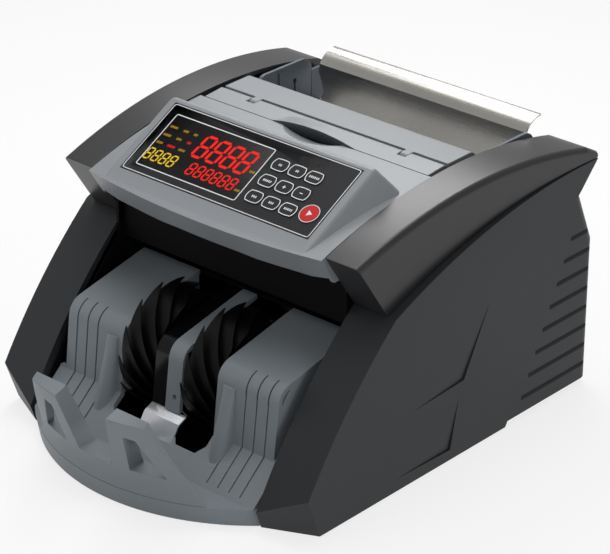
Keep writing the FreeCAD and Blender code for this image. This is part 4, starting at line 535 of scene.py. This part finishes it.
def rim_line(across):
    """Height of the rim, which the stop stands on."""
    return RIM_TOP


def saddle_line(across):
    """Height of the sill that joins the towers."""
    return min(SADDLE_TOP, tower_line(across))


def tower_line(across):
    """Height of the stop's top edge."""
    return height_along(TOWER_MARKS, across)


def window_line(across):
    """Height of the upper edge of a window."""
    return height_along(WINDOW_MARKS, across)


def stop_point(shape, across, height, back):
    """A corner on the bowed front or on the flat back of the stop."""
    radius = RIM_RADIUS + FRONT_LEAN * max(0, height - LEAN_START)
    front_place = RIM_AXIS - math.sqrt(radius ** 2 - across ** 2)
    if not back:
        return shape.verts.new((across, front_place, height))
    lifted = height + TOWER_RISE * max(0, height - WINDOW_TOP) / (TOWER_TOP - WINDOW_TOP)
    back_place = max(front_place + STOP_WALL, BACK_FOOT - BACK_LEAN * (lifted - RIM_TOP))
    return shape.verts.new((across, back_place, lifted))


def add_stop_band(shape, columns, low_line, high_line, floors):
    """A bent slab between two lines: front, back, top, bottom and its two ends."""
    rows = []
    for across in columns:
        low, high = low_line(across), high_line(across)
        heights = [between(low, high, step / floors) for step in range(floors + 1)]
        rows.append([[stop_point(shape, across, height, back) for height in heights]
                     for back in (False, True)])
    for (front, back), (next_front, next_back) in zip(rows, rows[1:]):
        for step in range(floors):
            shape.faces.new((front[step], next_front[step], next_front[step + 1], front[step + 1]))
            shape.faces.new((next_back[step], back[step], back[step + 1], next_back[step + 1]))
        shape.faces.new((front[-1], next_front[-1], next_back[-1], back[-1]))
        shape.faces.new((back[0], next_back[0], next_front[0], front[0]))
    for front, back in (rows[0], rows[-1]):
        for step in range(floors):
            shape.faces.new((front[step], front[step + 1], back[step + 1], back[step]))


def columns_between(marks):
    """Places across, with every mark among them and no gap wider than a column step."""
    places = [marks[0]]
    for start, end in zip(marks, marks[1:]):
        steps = max(1, math.ceil((end - start) / COLUMN_STEP))
        places += [between(start, end, step / steps) for step in range(1, steps + 1)]
    return places


def stop_shape():
    """The sill and the two towers joined, without the faces that they share inside."""
    sill_share = (SADDLE_TOP - RIM_TOP) / (TOWER_TOP - RIM_TOP)
    slope_foot = between(FOOT_HALF, TOP_OUTER, sill_share)
    half_marks = [SADDLE_HALF, TOP_INNER, *WINDOW_PLACES[:3], TOP_OUTER, WINDOW_PLACES[3], slope_foot]
    all_marks = [-FOOT_HALF, *[-mark for mark in half_marks[::-1]], *half_marks, FOOT_HALF]
    shape = bmesh.new()
    add_stop_band(shape, columns_between(all_marks), rim_line, saddle_line, 2)
    for side in (-1, 1):
        tower_marks = sorted(side * mark for mark in half_marks)
        add_stop_band(shape, columns_between(tower_marks), window_line, tower_line, 1)
    bmesh.ops.remove_doubles(shape, verts=shape.verts, dist=STOP_MERGE)
    bmesh.ops.dissolve_degenerate(shape, edges=shape.edges, dist=STOP_MERGE)
    same_corners = {}
    for face in shape.faces:
        same_corners.setdefault(frozenset(face.verts), []).append(face)
    twins = [face for faces in same_corners.values() if len(faces) > 1 for face in faces]
    bmesh.ops.delete(shape, geom=twins, context="FACES_ONLY")
    bmesh.ops.recalc_face_normals(shape, faces=shape.faces)
    return shape


stop = solid_piece("stacker_stop_moulding", stop_shape(), tray_grey)
crisp(stop, STOP_CRISP)
add_edge_radius(stop, STOP_EDGE, CRISP_ANGLE)
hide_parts("stacker_stop")


# Ends of the tray's rim: the bowed front runs on to the side covers, under the ramp.
# They are part of the tray's moulding, in the same grey.
RIM_END_START = 0.076
RIM_END_STOP = 0.0964
RIM_END_REAR = -0.112
RIM_FOOT = 0.002
RIM_UNDERCUT = 0.002
RIM_END_STEPS = 8
for side, label in SIDES:
    rim_rows = []
    for step in range(RIM_END_STEPS + 1):
        across = between(RIM_END_START, RIM_END_STOP, step / RIM_END_STEPS)
        low_front, top_front = (RIM_AXIS - math.sqrt(radius ** 2 - across ** 2)
                                for radius in (RIM_RADIUS - RIM_UNDERCUT, RIM_RADIUS))
        corners = ((low_front, RIM_FOOT), (top_front, RIM_TOP), (RIM_END_REAR, RIM_TOP),
                   (RIM_END_REAR, RIM_FOOT))
        rim_rows.append([(side * across, *corner) for corner in corners])
    rim_end = solid_piece(label + "_tray_rim_end", skinned(rim_rows), tray_grey)
    crisp(rim_end, CRISP_ANGLE)


# Fins at the foot of the stacker blocks: rounded wedges that stiffen each block on its ramp.
# They are moulded with the tray, in the same grey, and fade into the face of the block.
FIN_ACROSS = 0.0495
FIN_TOP = 0.07
FIN_FOOT_REACH = 0.0125
FIN_TOP_REACH = 0.0026
FIN_FOOT_HALF = 0.0062
FIN_TOP_HALF = 0.0048
FIN_NOSE = 0.6
FIN_SUNK = 0.001
FIN_ROWS = 12
FIN_COLUMNS = 20
BLOCK_PLACE = -0.1005
BLOCK_FOOT = 0.035
BLOCK_LEAN = 0.122
RAMP_RISE = 0.857


def fin_point(side, share, turn):
    """A point of a fin, a share of its height up and turned round its nose from one flank to the other."""
    nose = max(0, math.sin(turn)) ** FIN_NOSE
    foot = BLOCK_FOOT - RAMP_RISE * FIN_FOOT_REACH * nose - FIN_SUNK
    height = between(foot, FIN_TOP, share)
    face_place = BLOCK_PLACE + BLOCK_LEAN * (height - BLOCK_FOOT) + FIN_SUNK
    across = side * FIN_ACROSS + between(FIN_FOOT_HALF, FIN_TOP_HALF, share) * math.cos(turn)
    return (across, face_place - between(FIN_FOOT_REACH, FIN_TOP_REACH, share) * nose, height)


fin_turns = [math.pi * step / FIN_COLUMNS for step in range(FIN_COLUMNS + 1)]
fin_shares = [step / FIN_ROWS for step in range(FIN_ROWS + 1)]
for side, label in SIDES:
    fin_rows = [[fin_point(side, share, turn) for turn in fin_turns] for share in fin_shares]
    fin = solid_piece(label + "_block_fin", skinned(fin_rows), tray_grey)
    crisp(fin, CRISP_ANGLE)


# Grooves of the stacker blocks: painted shadow, dark strips that carry each face's grooves over its
# shoulder.
# The grooves are cut by the tray's tool; the strips end where the flat top of the block begins.
GROOVE_WIDTH = 0.0009
GROOVE_PITCH = 0.009
GROOVE_FIRST = 0.063
GROOVE_COUNT = 3
GROOVE_LIFT = 0.00005
GROOVE_SUNK = 0.0003
GROOVE_STEPS = 12
SHOULDER_MIDDLE = Vector((-0.08413, 0.07))
SHOULDER_RADIUS = 0.012
SHOULDER_START = math.radians(173)
SHOULDER_END = math.radians(101.8)
FACE_RUN = Vector((-0.0003, -0.0026))


def shoulder_line(depth):
    """Places up the face and round the shoulder of a block, at a depth above or below its surface."""
    places = []
    for step in range(GROOVE_STEPS + 1):
        turn = between(SHOULDER_START, SHOULDER_END, step / GROOVE_STEPS)
        outward = Vector((math.cos(turn), math.sin(turn)))
        places.append(SHOULDER_MIDDLE + outward * (SHOULDER_RADIUS + depth))
    return [places[0] + FACE_RUN, *places]


# Painted shadow: a darker copy of the tray's grey stands for the shade inside each groove.
groove_shade_finish = moulding("groove_shadow", linear(54, 58, 61), roughness=0.62, gloss=0.1)
groove_points = shoulder_line(GROOVE_LIFT) + shoulder_line(-GROOVE_SUNK)[::-1]
for side, label in SIDES:
    groove = sheet_shape(groove_points, -GROOVE_WIDTH / 2, GROOVE_WIDTH / 2)
    row_of(label + "_block_grooves", groove, GROOVE_COUNT, Vector((side * GROOVE_FIRST, 0, 0)),
           Vector((side * GROOVE_PITCH, 0, 0)), groove_shade_finish)


# Sensor window and reflector: a dark gloss strip over the sensors and a bright bent plate below it.
# The plate is polished stainless, with faint lines from rolling.
HAZE_SIZE = 0.02
ROLLED = (1, 8, 1)
smoked = Finish("smoked_plastic", roughness=0.12, specular_ior_level=0.25)
haze = smoked.noise(HAZE_SIZE)
smoked.shade("base_color", smoked.mix(haze, linear(8, 7, 8), linear(15, 13, 14)))
dress(smoked, "sensor_window", "display_window")
bright = steel("polished_plate", linear(244, 246, 250), roughness=0.12, cloud_size=0.03, stretch=ROLLED)
bright.shade("metallic", 0.75)
dress(bright, "reflector_plate")


# Hopper: a stainless back plate with a rolled lip, and painted sheet walls whose short ends pass behind it.
# The plate is brushed along its length before it is rolled, and the walls are screwed to the side frames.
BRUSHED = (0.04, 3, 3)
WALL_REAR = 0.1368
WALL_HEEL = 0.1482
WALL_END = 0.1525
WALL_FOOT = 0.1425
WALL_TOP = 0.166
WALL_CORNER = 0.006
WALL_INNER = 0.0922
WALL_OUTER = 0.0944
brushed = steel("brushed_stainless", linear(190, 187, 181), roughness=0.24, cloud_size=0.05,
                stretch=BRUSHED)
dress(brushed, "hopper_back_plate")
painted = moulding("wall_paint", linear(74, 84, 94), roughness=0.42, grain=0.0009, relief=0.00003)
dress(painted, "left_hopper_wall", "right_hopper_wall")
wall_points = ((WALL_REAR, WALL_FOOT), (WALL_HEEL, WALL_FOOT), (WALL_END, WALL_TOP - WALL_CORNER),
               (WALL_END - WALL_CORNER, WALL_TOP), (WALL_REAR, WALL_TOP))
for side, label in SIDES:
    wall_end = sheet_shape(wall_points, side * WALL_INNER, side * WALL_OUTER)
    solid_piece(label + "_hopper_wall_end", wall_end, painted)


# Control housing, lid and hopper front guide: pale grey satin mouldings.
# Their edges are rounded by the tool, and the satin grain scatters the light evenly.
housing_grey = moulding("housing_grey", linear(130, 134, 138), roughness=0.4, grain=0.0005,
                        relief=0.00003, gloss=0.4)
dress(housing_grey, "control_housing", "lid", "hopper_front_guide")
round_edges(0.001, 24, "control_housing", "lid", "hopper_front_guide")


# Grip shade: painted shade in the finger hollow of the lid, a dark soft sheet that stands for the shadow
# there.
# It covers the front wall of the lid's arch, where a fingertip pulls the lid up.
GRIP_HALF = 0.048
GRIP_FACING = -0.95
SHADE_SHEET_LIFT = 0.0001
SHADE_SHEET_THICK = 0.0002


def grip_shade_shape():
    """The flat front wall of the lid's arch, lifted a little and given a thickness: a sheet of painted
    shade.
    """
    shape = bmesh.new()
    shape.from_mesh(nodes["lid"].data)
    bmesh.ops.remove_doubles(shape, verts=shape.verts, dist=TRIANGLE_JOIN)
    front_wall = min(vert.co.y for vert in shape.verts)
    off_grip = []
    for face in shape.faces:
        middle = face.calc_center_median()
        behind = face.normal.y > GRIP_FACING or middle.y > front_wall + SHADE_SHEET_LIFT
        if behind or abs(middle.x) > GRIP_HALF:
            off_grip.append(face)
    bmesh.ops.delete(shape, geom=off_grip, context="FACES")
    bmesh.ops.translate(shape, verts=shape.verts, vec=(0, -SHADE_SHEET_LIFT, 0))
    grown = bmesh.ops.extrude_face_region(shape, geom=shape.faces[:])
    front = [item for item in grown["geom"] if isinstance(item, bmesh.types.BMVert)]
    bmesh.ops.translate(shape, verts=front, vec=(0, -SHADE_SHEET_THICK, 0))
    bmesh.ops.recalc_face_normals(shape, faces=shape.faces)
    return shape


# Painted shade: a dark rubber finish that stands for the shadow deep in the finger hollow.
grip_shade_finish = rubber("grip_shade_paint", linear(46, 50, 54))
solid_piece("lid_grip_liner", grip_shade_shape(), grip_shade_finish, "lid")


# Membrane overlay: one printed polyester sheet stuck into the bezel.
# White rules run round the sheet, the display window and each key. Sizes on the sheet are in millimetres.
MM = 0.001
PANEL_TILT = math.radians(28.7)
PANEL_EDGE = Vector((0, -0.0585, 0.1634))
PRINT_LIFT = 0.00004
PRINT_THICK = 0.00004
CORNER_STEPS = 5
SHEET_RULE = (-77.3, 0.9, 77.3, 56.9)
SHEET_RULE_RADIUS = 2
SHEET_RULE_WIDTH = 0.55
DISPLAY_RULE = (-70.3, 6.4, 13.7, 50.3)
DISPLAY_RULE_RADIUS = 1.6
DISPLAY_RULE_WIDTH = 0.7
panel_place = Matrix.Translation(PANEL_EDGE) @ Matrix.Rotation(PANEL_TILT, 4, "X")


def panel_loop(shape, points, height):
    """A loop of vertices on the panel, at a height above it."""
    return [shape.verts.new(panel_place @ Vector((across * MM, up * MM, height))) for across, up in points]


def rounded_corners(left, low, right, high, radius):
    """Corner points of a rectangle with round corners, anticlockwise."""
    points = []
    for place, (across, up) in enumerate(((right, low), (right, high), (left, high), (left, low))):
        middle_across = across + (radius if across == left else -radius)
        middle_up = up + (radius if up == low else -radius)
        for step in range(CORNER_STEPS + 1):
            turn = math.radians(90 * (place - 1 + step / CORNER_STEPS))
            points.append((middle_across + radius * math.cos(turn), middle_up + radius * math.sin(turn)))
    return points


def add_ring(shape, points, width, base=PRINT_LIFT):
    """A printed rule along the inside of a closed outline on the panel."""
    inner = []
    for place, point in enumerate(points):
        along = Vector(points[(place + 1) % len(points)]) - Vector(points[place - 1])
        inward = Vector((-along.y, along.x)).normalized()
        inner.append(Vector(point) + inward * width)
    top = base + PRINT_THICK
    sides = ((points, base), (points, top), (inner, top), (inner, base))
    loops = [panel_loop(shape, outline, height) for outline, height in sides]
    for place, loop in enumerate(loops):
        add_wall(shape, loops[place - 1], loop)


overlay_black = moulding("overlay_film", linear(24, 25, 28), roughness=0.5, grain=0.0004,
                         relief=0.000006, gloss=0.2)
dress(overlay_black, "membrane_overlay")
white_ink = moulding("white_ink", linear(222, 223, 224), roughness=0.5, grain=0.0004, relief=0.00001)
rules = bmesh.new()
add_ring(rules, rounded_corners(*SHEET_RULE, SHEET_RULE_RADIUS), SHEET_RULE_WIDTH)
add_ring(rules, rounded_corners(*DISPLAY_RULE, DISPLAY_RULE_RADIUS), DISPLAY_RULE_WIDTH)
solid_piece("overlay_rules", rules, white_ink)


# Display: seven-segment digits behind the smoked window, red for the count and yellow for the batch.
# Small bars stand for the function marks, which light beside the digits.
DIFFUSER_SIZE = 0.004
GLOW_SHADE = 0.85
UNLIT_DARK = 0.15
UNLIT_LIGHT = 0.2
DIGIT_SLANT = 0.1
SEGMENT_HALF = 0.1
SEGMENT_GAP = 0.04
MARK_HEIGHT = 1.8
MARK_STROKE = 0.55
MARK_STEP = 1.05
MARK_LEAN = 0.15


def lamp(name, colour, strength):
    """A lit segment: its colour with a little glow and a soft unevenness of the diffuser."""
    finish = Finish(name, roughness=0.5, emission_strength=strength, specular_ior_level=0.1)
    patch = finish.noise(DIFFUSER_SIZE)
    finish.shade("base_color", finish.mix(patch, darker(colour, UNLIT_DARK), darker(colour, UNLIT_LIGHT)))
    return finish.shade("emission_color", finish.mix(patch, darker(colour, GLOW_SHADE), colour))


def add_bar(shape, corners, base=PRINT_LIFT):
    """A thin flat plate with these corners, anticlockwise, on the panel."""
    low = panel_loop(shape, corners, base)
    top = panel_loop(shape, corners, base + PRINT_THICK)
    shape.faces.new(top)
    shape.faces.new(low[::-1])
    add_wall(shape, low, top)


def add_segment(shape, start, end, half, lying):
    """One bar of a digit from point to point, with both ends cut to points, leaning to the right."""
    along = Vector((half, 0)) if lying else Vector((0, half))
    aside = Vector((0, -half)) if lying else Vector((half, 0))
    start, end = Vector(start), Vector(end)
    corners = (start, start + along + aside, end - along + aside, end, end - along - aside,
               start + along - aside)
    add_bar(shape, [(spot.x + DIGIT_SLANT * spot.y, spot.y) for spot in corners])


def digit_shape(width, height):
    """An eight of seven pointed bars, with its foot at the panel's edge."""
    shape = bmesh.new()
    half = SEGMENT_HALF * width
    gap = SEGMENT_GAP * width
    waist = height / 2
    for level in (half, waist, height - half):
        add_segment(shape, (half + gap, level), (width - half - gap, level), half, True)
    for across in (half, width - half):
        for start, end in ((half + gap, waist - gap), (waist + gap, height - half - gap)):
            add_segment(shape, (across, start), (across, end), half, False)
    return shape


def on_panel(across, up):
    """A step on the panel, as a vector of the frame."""
    return panel_place.to_3x3() @ Vector((across * MM, up * MM, 0))


red_lamp = lamp("red_segments", linear(240, 26, 18), 1.0)
yellow_lamp = lamp("yellow_segments", linear(220, 186, 40), 0.9)
amber_lamp = lamp("amber_marks", linear(196, 148, 34), 0.75)
DIGIT_ROWS = (
    ("count_digits", red_lamp, 4, -39.6, 24.7, 11.6, 9.9, 19.0),
    ("total_digits", red_lamp, 6, -33.6, 11.8, 6.8, 5.4, 9.8),
    ("batch_digits", yellow_lamp, 4, -70.0, 12.0, 6.6, 5.4, 9.6),
)
for label, finish, count, left, low, pitch, width, height in DIGIT_ROWS:
    row_of(label, digit_shape(width, height), count, on_panel(left, low), on_panel(pitch, 0), finish)

MARKS = (
    ("upper_mark", amber_lamp, 39.4, ((-67.8, 6), (-56.4, 4), (-47.6, 3))),
    ("middle_mark", amber_lamp, 32.4, ((-68.0, 6), (-56.8, 4))),
    ("lower_mark", amber_lamp, 25.6, ((-68.3, 5), (-49.4, 5))),
    ("alarm_mark", red_lamp, 32.4, ((-47.6, 3),)),
    ("sensor_mark", red_lamp, 25.6, ((-59.0, 6),)),
    ("count_unit", amber_lamp, 28.6, ((8.0, 4),)),
    ("total_unit", amber_lamp, 13.0, ((8.0, 4),)),
)
mark_corners = ((0, 0), (MARK_STROKE, 0), (MARK_STROKE + MARK_LEAN, MARK_HEIGHT), (MARK_LEAN, MARK_HEIGHT))
for label, finish, low, places in MARKS:
    for place, (left, count) in enumerate(places):
        tick = bmesh.new()
        add_bar(tick, mark_corners)
        row_of("%s_%d" % (label, place), tick, count, on_panel(left, low), on_panel(MARK_STEP, 0), finish)


# Keys: nine shaped caps flush in the sheet with white outlines, and a round red start key.
# The outline and a plain mark are printed on each cap, so they ride on the key.
KEY_TOP = 0.0005 + PRINT_LIFT
KEY_HALF = 4.6
KEY_RISE = 4.2
KEY_BOW = 26.0
KEY_SIDE_BOW = 6.4
KEY_BOW_STEPS = 8
KEY_FIRST = 24.3
KEY_PITCH = 13.7
KEY_ROW = 13.9
KEY_STEP = 13.4
KEY_RULE = 0.6
COLUMNS = ("left", "centre", "right")
TICK_ROWS = (("low", (3, 3, 5)), ("middle", (5, 0, 0)), ("top", (2, 2, 6)))
TICK_PITCH = 1.35
TICK_HALF = 0.4
TICK_RISE = 0.8
SIGN_HALF = 1.2
SIGN_STROKE = 0.3
SIGN_ARM = 0.45
START_ACROSS = 66.8
START_UP = 16.4
START_RING = 6.85
START_RULE = 0.5
START_STEPS = 40
ARROW_BACK = 1.5
ARROW_TIP = 2.2
ARROW_HALF = 2.1


def bowed_outline(across, up):
    """Outline of a key, anticlockwise: a rectangle whose sides are arcs that swell outwards."""
    corners = [Vector(corner) for corner in ((-KEY_HALF, -KEY_RISE), (KEY_HALF, -KEY_RISE),
                                             (KEY_HALF, KEY_RISE), (-KEY_HALF, KEY_RISE))]
    points = []
    for place, start in enumerate(corners):
        along = (corners[(place + 1) % 4] - start) / 2
        outward = Vector((along.y, -along.x)).normalized()
        bow = KEY_SIDE_BOW if place % 2 else KEY_BOW
        drop = math.sqrt(bow ** 2 - along.length_squared)
        for step in range(KEY_BOW_STEPS):
            share = 2 * step / KEY_BOW_STEPS - 1
            swell = math.sqrt(bow ** 2 - (share * along.length) ** 2) - drop
            spot = start + along * (1 + share) + outward * swell
            points.append((across + spot.x, up + spot.y))
    return points


def add_block(shape, across, up, half_wide, half_tall):
    """A printed rectangle on a key."""
    left, right = across - half_wide, across + half_wide
    low, high = up - half_tall, up + half_tall
    add_bar(shape, [(left, low), (right, low), (right, high), (left, high)], KEY_TOP)


for row_place, (row, tick_counts) in enumerate(TICK_ROWS):
    for column_place, column in enumerate(COLUMNS):
        key = "key_%s_%s" % (row, column)
        across = KEY_FIRST + column_place * KEY_PITCH
        up = KEY_ROW + row_place * KEY_STEP
        legend = bmesh.new()
        add_ring(legend, bowed_outline(across, up), KEY_RULE, KEY_TOP)
        ticks = tick_counts[column_place]
        for step in range(ticks):
            add_block(legend, across + (step - (ticks - 1) / 2) * TICK_PITCH, up, TICK_HALF, TICK_RISE)
        if not ticks:
            add_block(legend, across, up, SIGN_HALF, SIGN_STROKE)
        if key == "key_middle_centre":
            for way in (1, -1):
                add_block(legend, across, up + way * (SIGN_STROKE + SIGN_ARM), SIGN_STROKE, SIGN_ARM)
        solid_piece(key + "_print", legend, white_ink, key + "_cap")
        dress(overlay_black, key)

red_key = moulding("start_red", linear(196, 6, 12), roughness=0.42, grain=0.0005, relief=0.00002,
                   gloss=0.25)
dress(red_key, "start_key")
start_turns = [2 * math.pi * step / START_STEPS for step in range(START_STEPS)]
start_ring = [(START_ACROSS + START_RING * math.cos(turn), START_UP + START_RING * math.sin(turn))
              for turn in start_turns]
start_arrow = [(START_ACROSS - ARROW_BACK, START_UP - ARROW_HALF), (START_ACROSS + ARROW_TIP, START_UP),
               (START_ACROSS - ARROW_BACK, START_UP + ARROW_HALF)]
start_print = bmesh.new()
add_ring(start_print, start_ring, START_RULE, KEY_TOP)
add_bar(start_print, start_arrow, KEY_TOP)
solid_piece("start_key_print", start_print, white_ink, "start_key_cap")


# Side covers and rear cover: tall charcoal mouldings with a sloped front, and facets on the flank.
# The tool's spark texture makes them satin, and screws and clips hold them to the side frames.
charcoal = moulding("charcoal_cover", linear(40, 42, 44), roughness=0.46, grain=0.0007,
                    relief=0.00005, gloss=0.28)
dress(charcoal, "left_side_cover", "right_side_cover", "rear_cover")
round_edges(0.0009, 20, "left_side_cover", "right_side_cover")
round_edges(0.0016, 20, "rear_cover")


# Shoulder covers: the arches that cap the sides, in a smoother and darker satin than the flanks.
# They clip over the side covers along a shadow line.
shoulder_black = moulding("shoulder_satin", linear(38, 38, 40), roughness=0.34, grain=0.0007,
                          relief=0.00003, gloss=0.4)
dress(shoulder_black, "left_shoulder_cover", "right_shoulder_cover")
round_edges(0.0008, 20, "left_shoulder_cover", "right_shoulder_cover")


# Mains inlet and power rocker: gloss black mouldings let into the back.
# The inlet snaps into its opening in the rear cover, and the rocker tilts in the frame beside it.
inlet_black = moulding("inlet_black", linear(20, 20, 21), roughness=0.32, relief=0.00002)
dress(inlet_black, "power_entry", "power_rocker")


# Screws of the base pan and the rear cover: plated pan heads with a cross recess.
# Six go up into the side frames, and two hold the upper corners of the rear cover.
HEAD_RADIUS = 0.0031
HEAD_CROWN = 0.8
HEAD_HEIGHT = 0.0011
HEAD_SIDES = 24
HEAD_TURN = math.radians(12)
CROSS_REACH = 0.0018
CROSS_INNER = 0.0006
CROSS_DEPTH = 0.0008
PAN_SCREW_ACROSS = 0.088
PAN_SCREW_FIRST = -0.04
PAN_SCREW_STEP = 0.075
PAN_SCREW_COUNT = 3
REAR_SCREW_ACROSS = 0.112
REAR_SCREW_PLACE = (0.1557, 0.115)
REAR_FACE = Vector((0, 0.92, 0.39))


def screw_head(facing):
    """A pan head that stands on the origin along a direction, with a cross let into its top."""
    shape = bmesh.new()
    turns = [HEAD_TURN + 2 * math.pi * step / HEAD_SIDES for step in range(HEAD_SIDES)]
    rings = []
    for share, level in ((1, 0), (1, HEAD_HEIGHT / 2), (HEAD_CROWN, HEAD_HEIGHT)):
        radius = HEAD_RADIUS * share
        rings.append([shape.verts.new((radius * math.cos(turn), radius * math.sin(turn), level))
                      for turn in turns])
    for low, high in zip(rings, rings[1:]):
        add_wall(shape, low, high)
    arm = ((CROSS_REACH, CROSS_INNER), (CROSS_INNER, CROSS_INNER), (CROSS_INNER, CROSS_REACH))
    cross = []
    for level in (HEAD_HEIGHT, HEAD_HEIGHT - CROSS_DEPTH):
        loop = []
        for quarter in range(4):
            about = Matrix.Rotation(quarter * math.pi / 2, 3, "Z")
            loop += [shape.verts.new(about @ Vector((across, up, level))) for across, up in arm]
        cross.append(loop)
    mouth, recess_floor = cross
    top = rings[-1]
    for place, corner in enumerate(mouth):
        first, middle, last = (top[(2 * place + step) % HEAD_SIDES] for step in range(3))
        shape.faces.new((first, middle, corner))
        shape.faces.new((middle, last, mouth[(place + 1) % len(mouth)], corner))
    add_wall(shape, mouth, recess_floor)
    shape.faces.new(recess_floor)
    shape.faces.new(rings[0][::-1])
    bmesh.ops.recalc_face_normals(shape, faces=shape.faces)
    bmesh.ops.rotate(shape, verts=shape.verts, matrix=facing)
    return shape


downward = Matrix.Rotation(math.pi, 3, "X")
for side, label in SIDES:
    first_place = Vector((side * PAN_SCREW_ACROSS, PAN_SCREW_FIRST, PAN_FACE))
    row_of(label + "_pan_screws", screw_head(downward), PAN_SCREW_COUNT, first_place,
           Vector((0, PAN_SCREW_STEP, 0)), zinc)
rearward = REAR_FACE.to_track_quat("Z", "Y").to_matrix()
row_of("rear_cover_screws", screw_head(rearward), 2, Vector((-REAR_SCREW_ACROSS, *REAR_SCREW_PLACE)),
       Vector((2 * REAR_SCREW_ACROSS, 0, 0)), zinc)


# Studio: a pale floor, a soft sky and large lamps, with the camera where the photograph was taken.
# The floor and sky show as white, and the floor keeps the shadow under the covers.
FLOOR_REACH = 6.0
FLOOR_CLOUD = 0.8
FLOOR_DARK = (0.86, 0.86, 0.86, 1)
FLOOR_LIGHT = (0.88, 0.88, 0.88, 1)
FLOOR_GLOW = 0.78
SKY_LIGHT = 0.25
SKY_MIRRORED = 0.3
LAMPS = (
    ("top_lamp", (-0.3, 0.2, 1.8), (0, 0, 0.1), 1.3, 17),
    ("front_lamp", (0.9, -1.2, 1.4), (0, -0.05, 0.08), 0.9, 4.5),
    ("side_lamp", (2.1, -0.1, 0.8), (0, 0, 0.1), 1.2, 8),
    ("left_lamp", (-1.9, -0.6, 0.5), (0, -0.05, 0.08), 1.0, 5.5),
    ("rim_lamp", (-0.3, 0.4, 0.62), (0.12, 0.02, 0.18), 0.3, 2.0),
)
CAMERA_PLACE = Vector((1.0541, -1.1575, 0.8637))
CAMERA_AIM = Vector((0.003544, 0.023, 0.084315))
CAMERA_ROLL = math.radians(0.179)
CAMERA_REACH = 50
FOCAL_PIXELS = 2772.07
PHOTO_WIDTH = 610
SENSOR_WIDTH = 36.0
scene.view_settings.view_transform = "Standard"

floor_paint = Finish("studio_floor", roughness=0.7, specular_ior_level=0.1)
floor_paint.shade("base_color", floor_paint.mix(floor_paint.noise(FLOOR_CLOUD), FLOOR_DARK, FLOOR_LIGHT))
floor_seen = floor_paint.node("LightPath", {}, "Is Camera Ray", {})
floor_mirrored = floor_paint.node("LightPath", {}, "Is Glossy Ray", {})
floor_lit = Sum(floor_paint, floor_paint.shader.outputs[0])
floor_white = floor_paint.node("Emission", {}, 0, {})
floor_share = (floor_seen + floor_mirrored) * FLOOR_GLOW
floor_shown = floor_paint.node("MixShader", {}, 0, {0: floor_share, 1: floor_lit, 2: floor_white})
floor_paint.feed(floor_paint.tree.nodes["Material Output"].inputs["Surface"], floor_shown)
floor_shape = bmesh.new()
bmesh.ops.create_grid(floor_shape, x_segments=1, y_segments=1, size=FLOOR_REACH)
floor = linked("studio_floor", mesh_of("studio_floor", floor_shape))
floor.data.materials.append(floor_paint.material)

world = bpy.data.worlds.new("studio_sky")
world.use_nodes = True
scene.world = world
sky = Graph(world.node_tree)
ray_kinds = ("Is Camera Ray", "Is Transmission Ray", "Is Glossy Ray")
seen_ray, passed_ray, mirrored_ray = (sky.node("LightPath", {}, kind, {}) for kind in ray_kinds)
sky_shown = seen_ray.join("MAXIMUM", passed_ray) + mirrored_ray * SKY_MIRRORED
sky_levels = {"Value": sky_shown, "To Min": SKY_LIGHT, "To Max": 1.0}
background = sky.tree.nodes["Background"]
sky.feed(background.inputs["Strength"], sky.node("MapRange", {}, 0, sky_levels))
sky.feed(background.inputs["Color"], (1, 1, 1, 1))

for name, place, aim, size, watts in LAMPS:
    light = bpy.data.lights.new(name, "AREA")
    light.size = size
    light.energy = watts
    softbox = linked(name, light)
    softbox.location = place
    softbox.rotation_euler = (Vector(aim) - Vector(place)).to_track_quat("-Z", "Y").to_euler()

lens = bpy.data.cameras.new("studio_camera")
lens.sensor_width = SENSOR_WIDTH
lens.lens = FOCAL_PIXELS / PHOTO_WIDTH * SENSOR_WIDTH
lens.clip_end = CAMERA_REACH
camera = linked("studio_camera", lens)
camera.location = CAMERA_PLACE
camera_turn = (CAMERA_AIM - CAMERA_PLACE).to_track_quat("-Z", "Y").to_matrix()
camera.rotation_euler = (camera_turn @ Matrix.Rotation(CAMERA_ROLL, 3, "Z")).to_euler()
scene.camera = camera
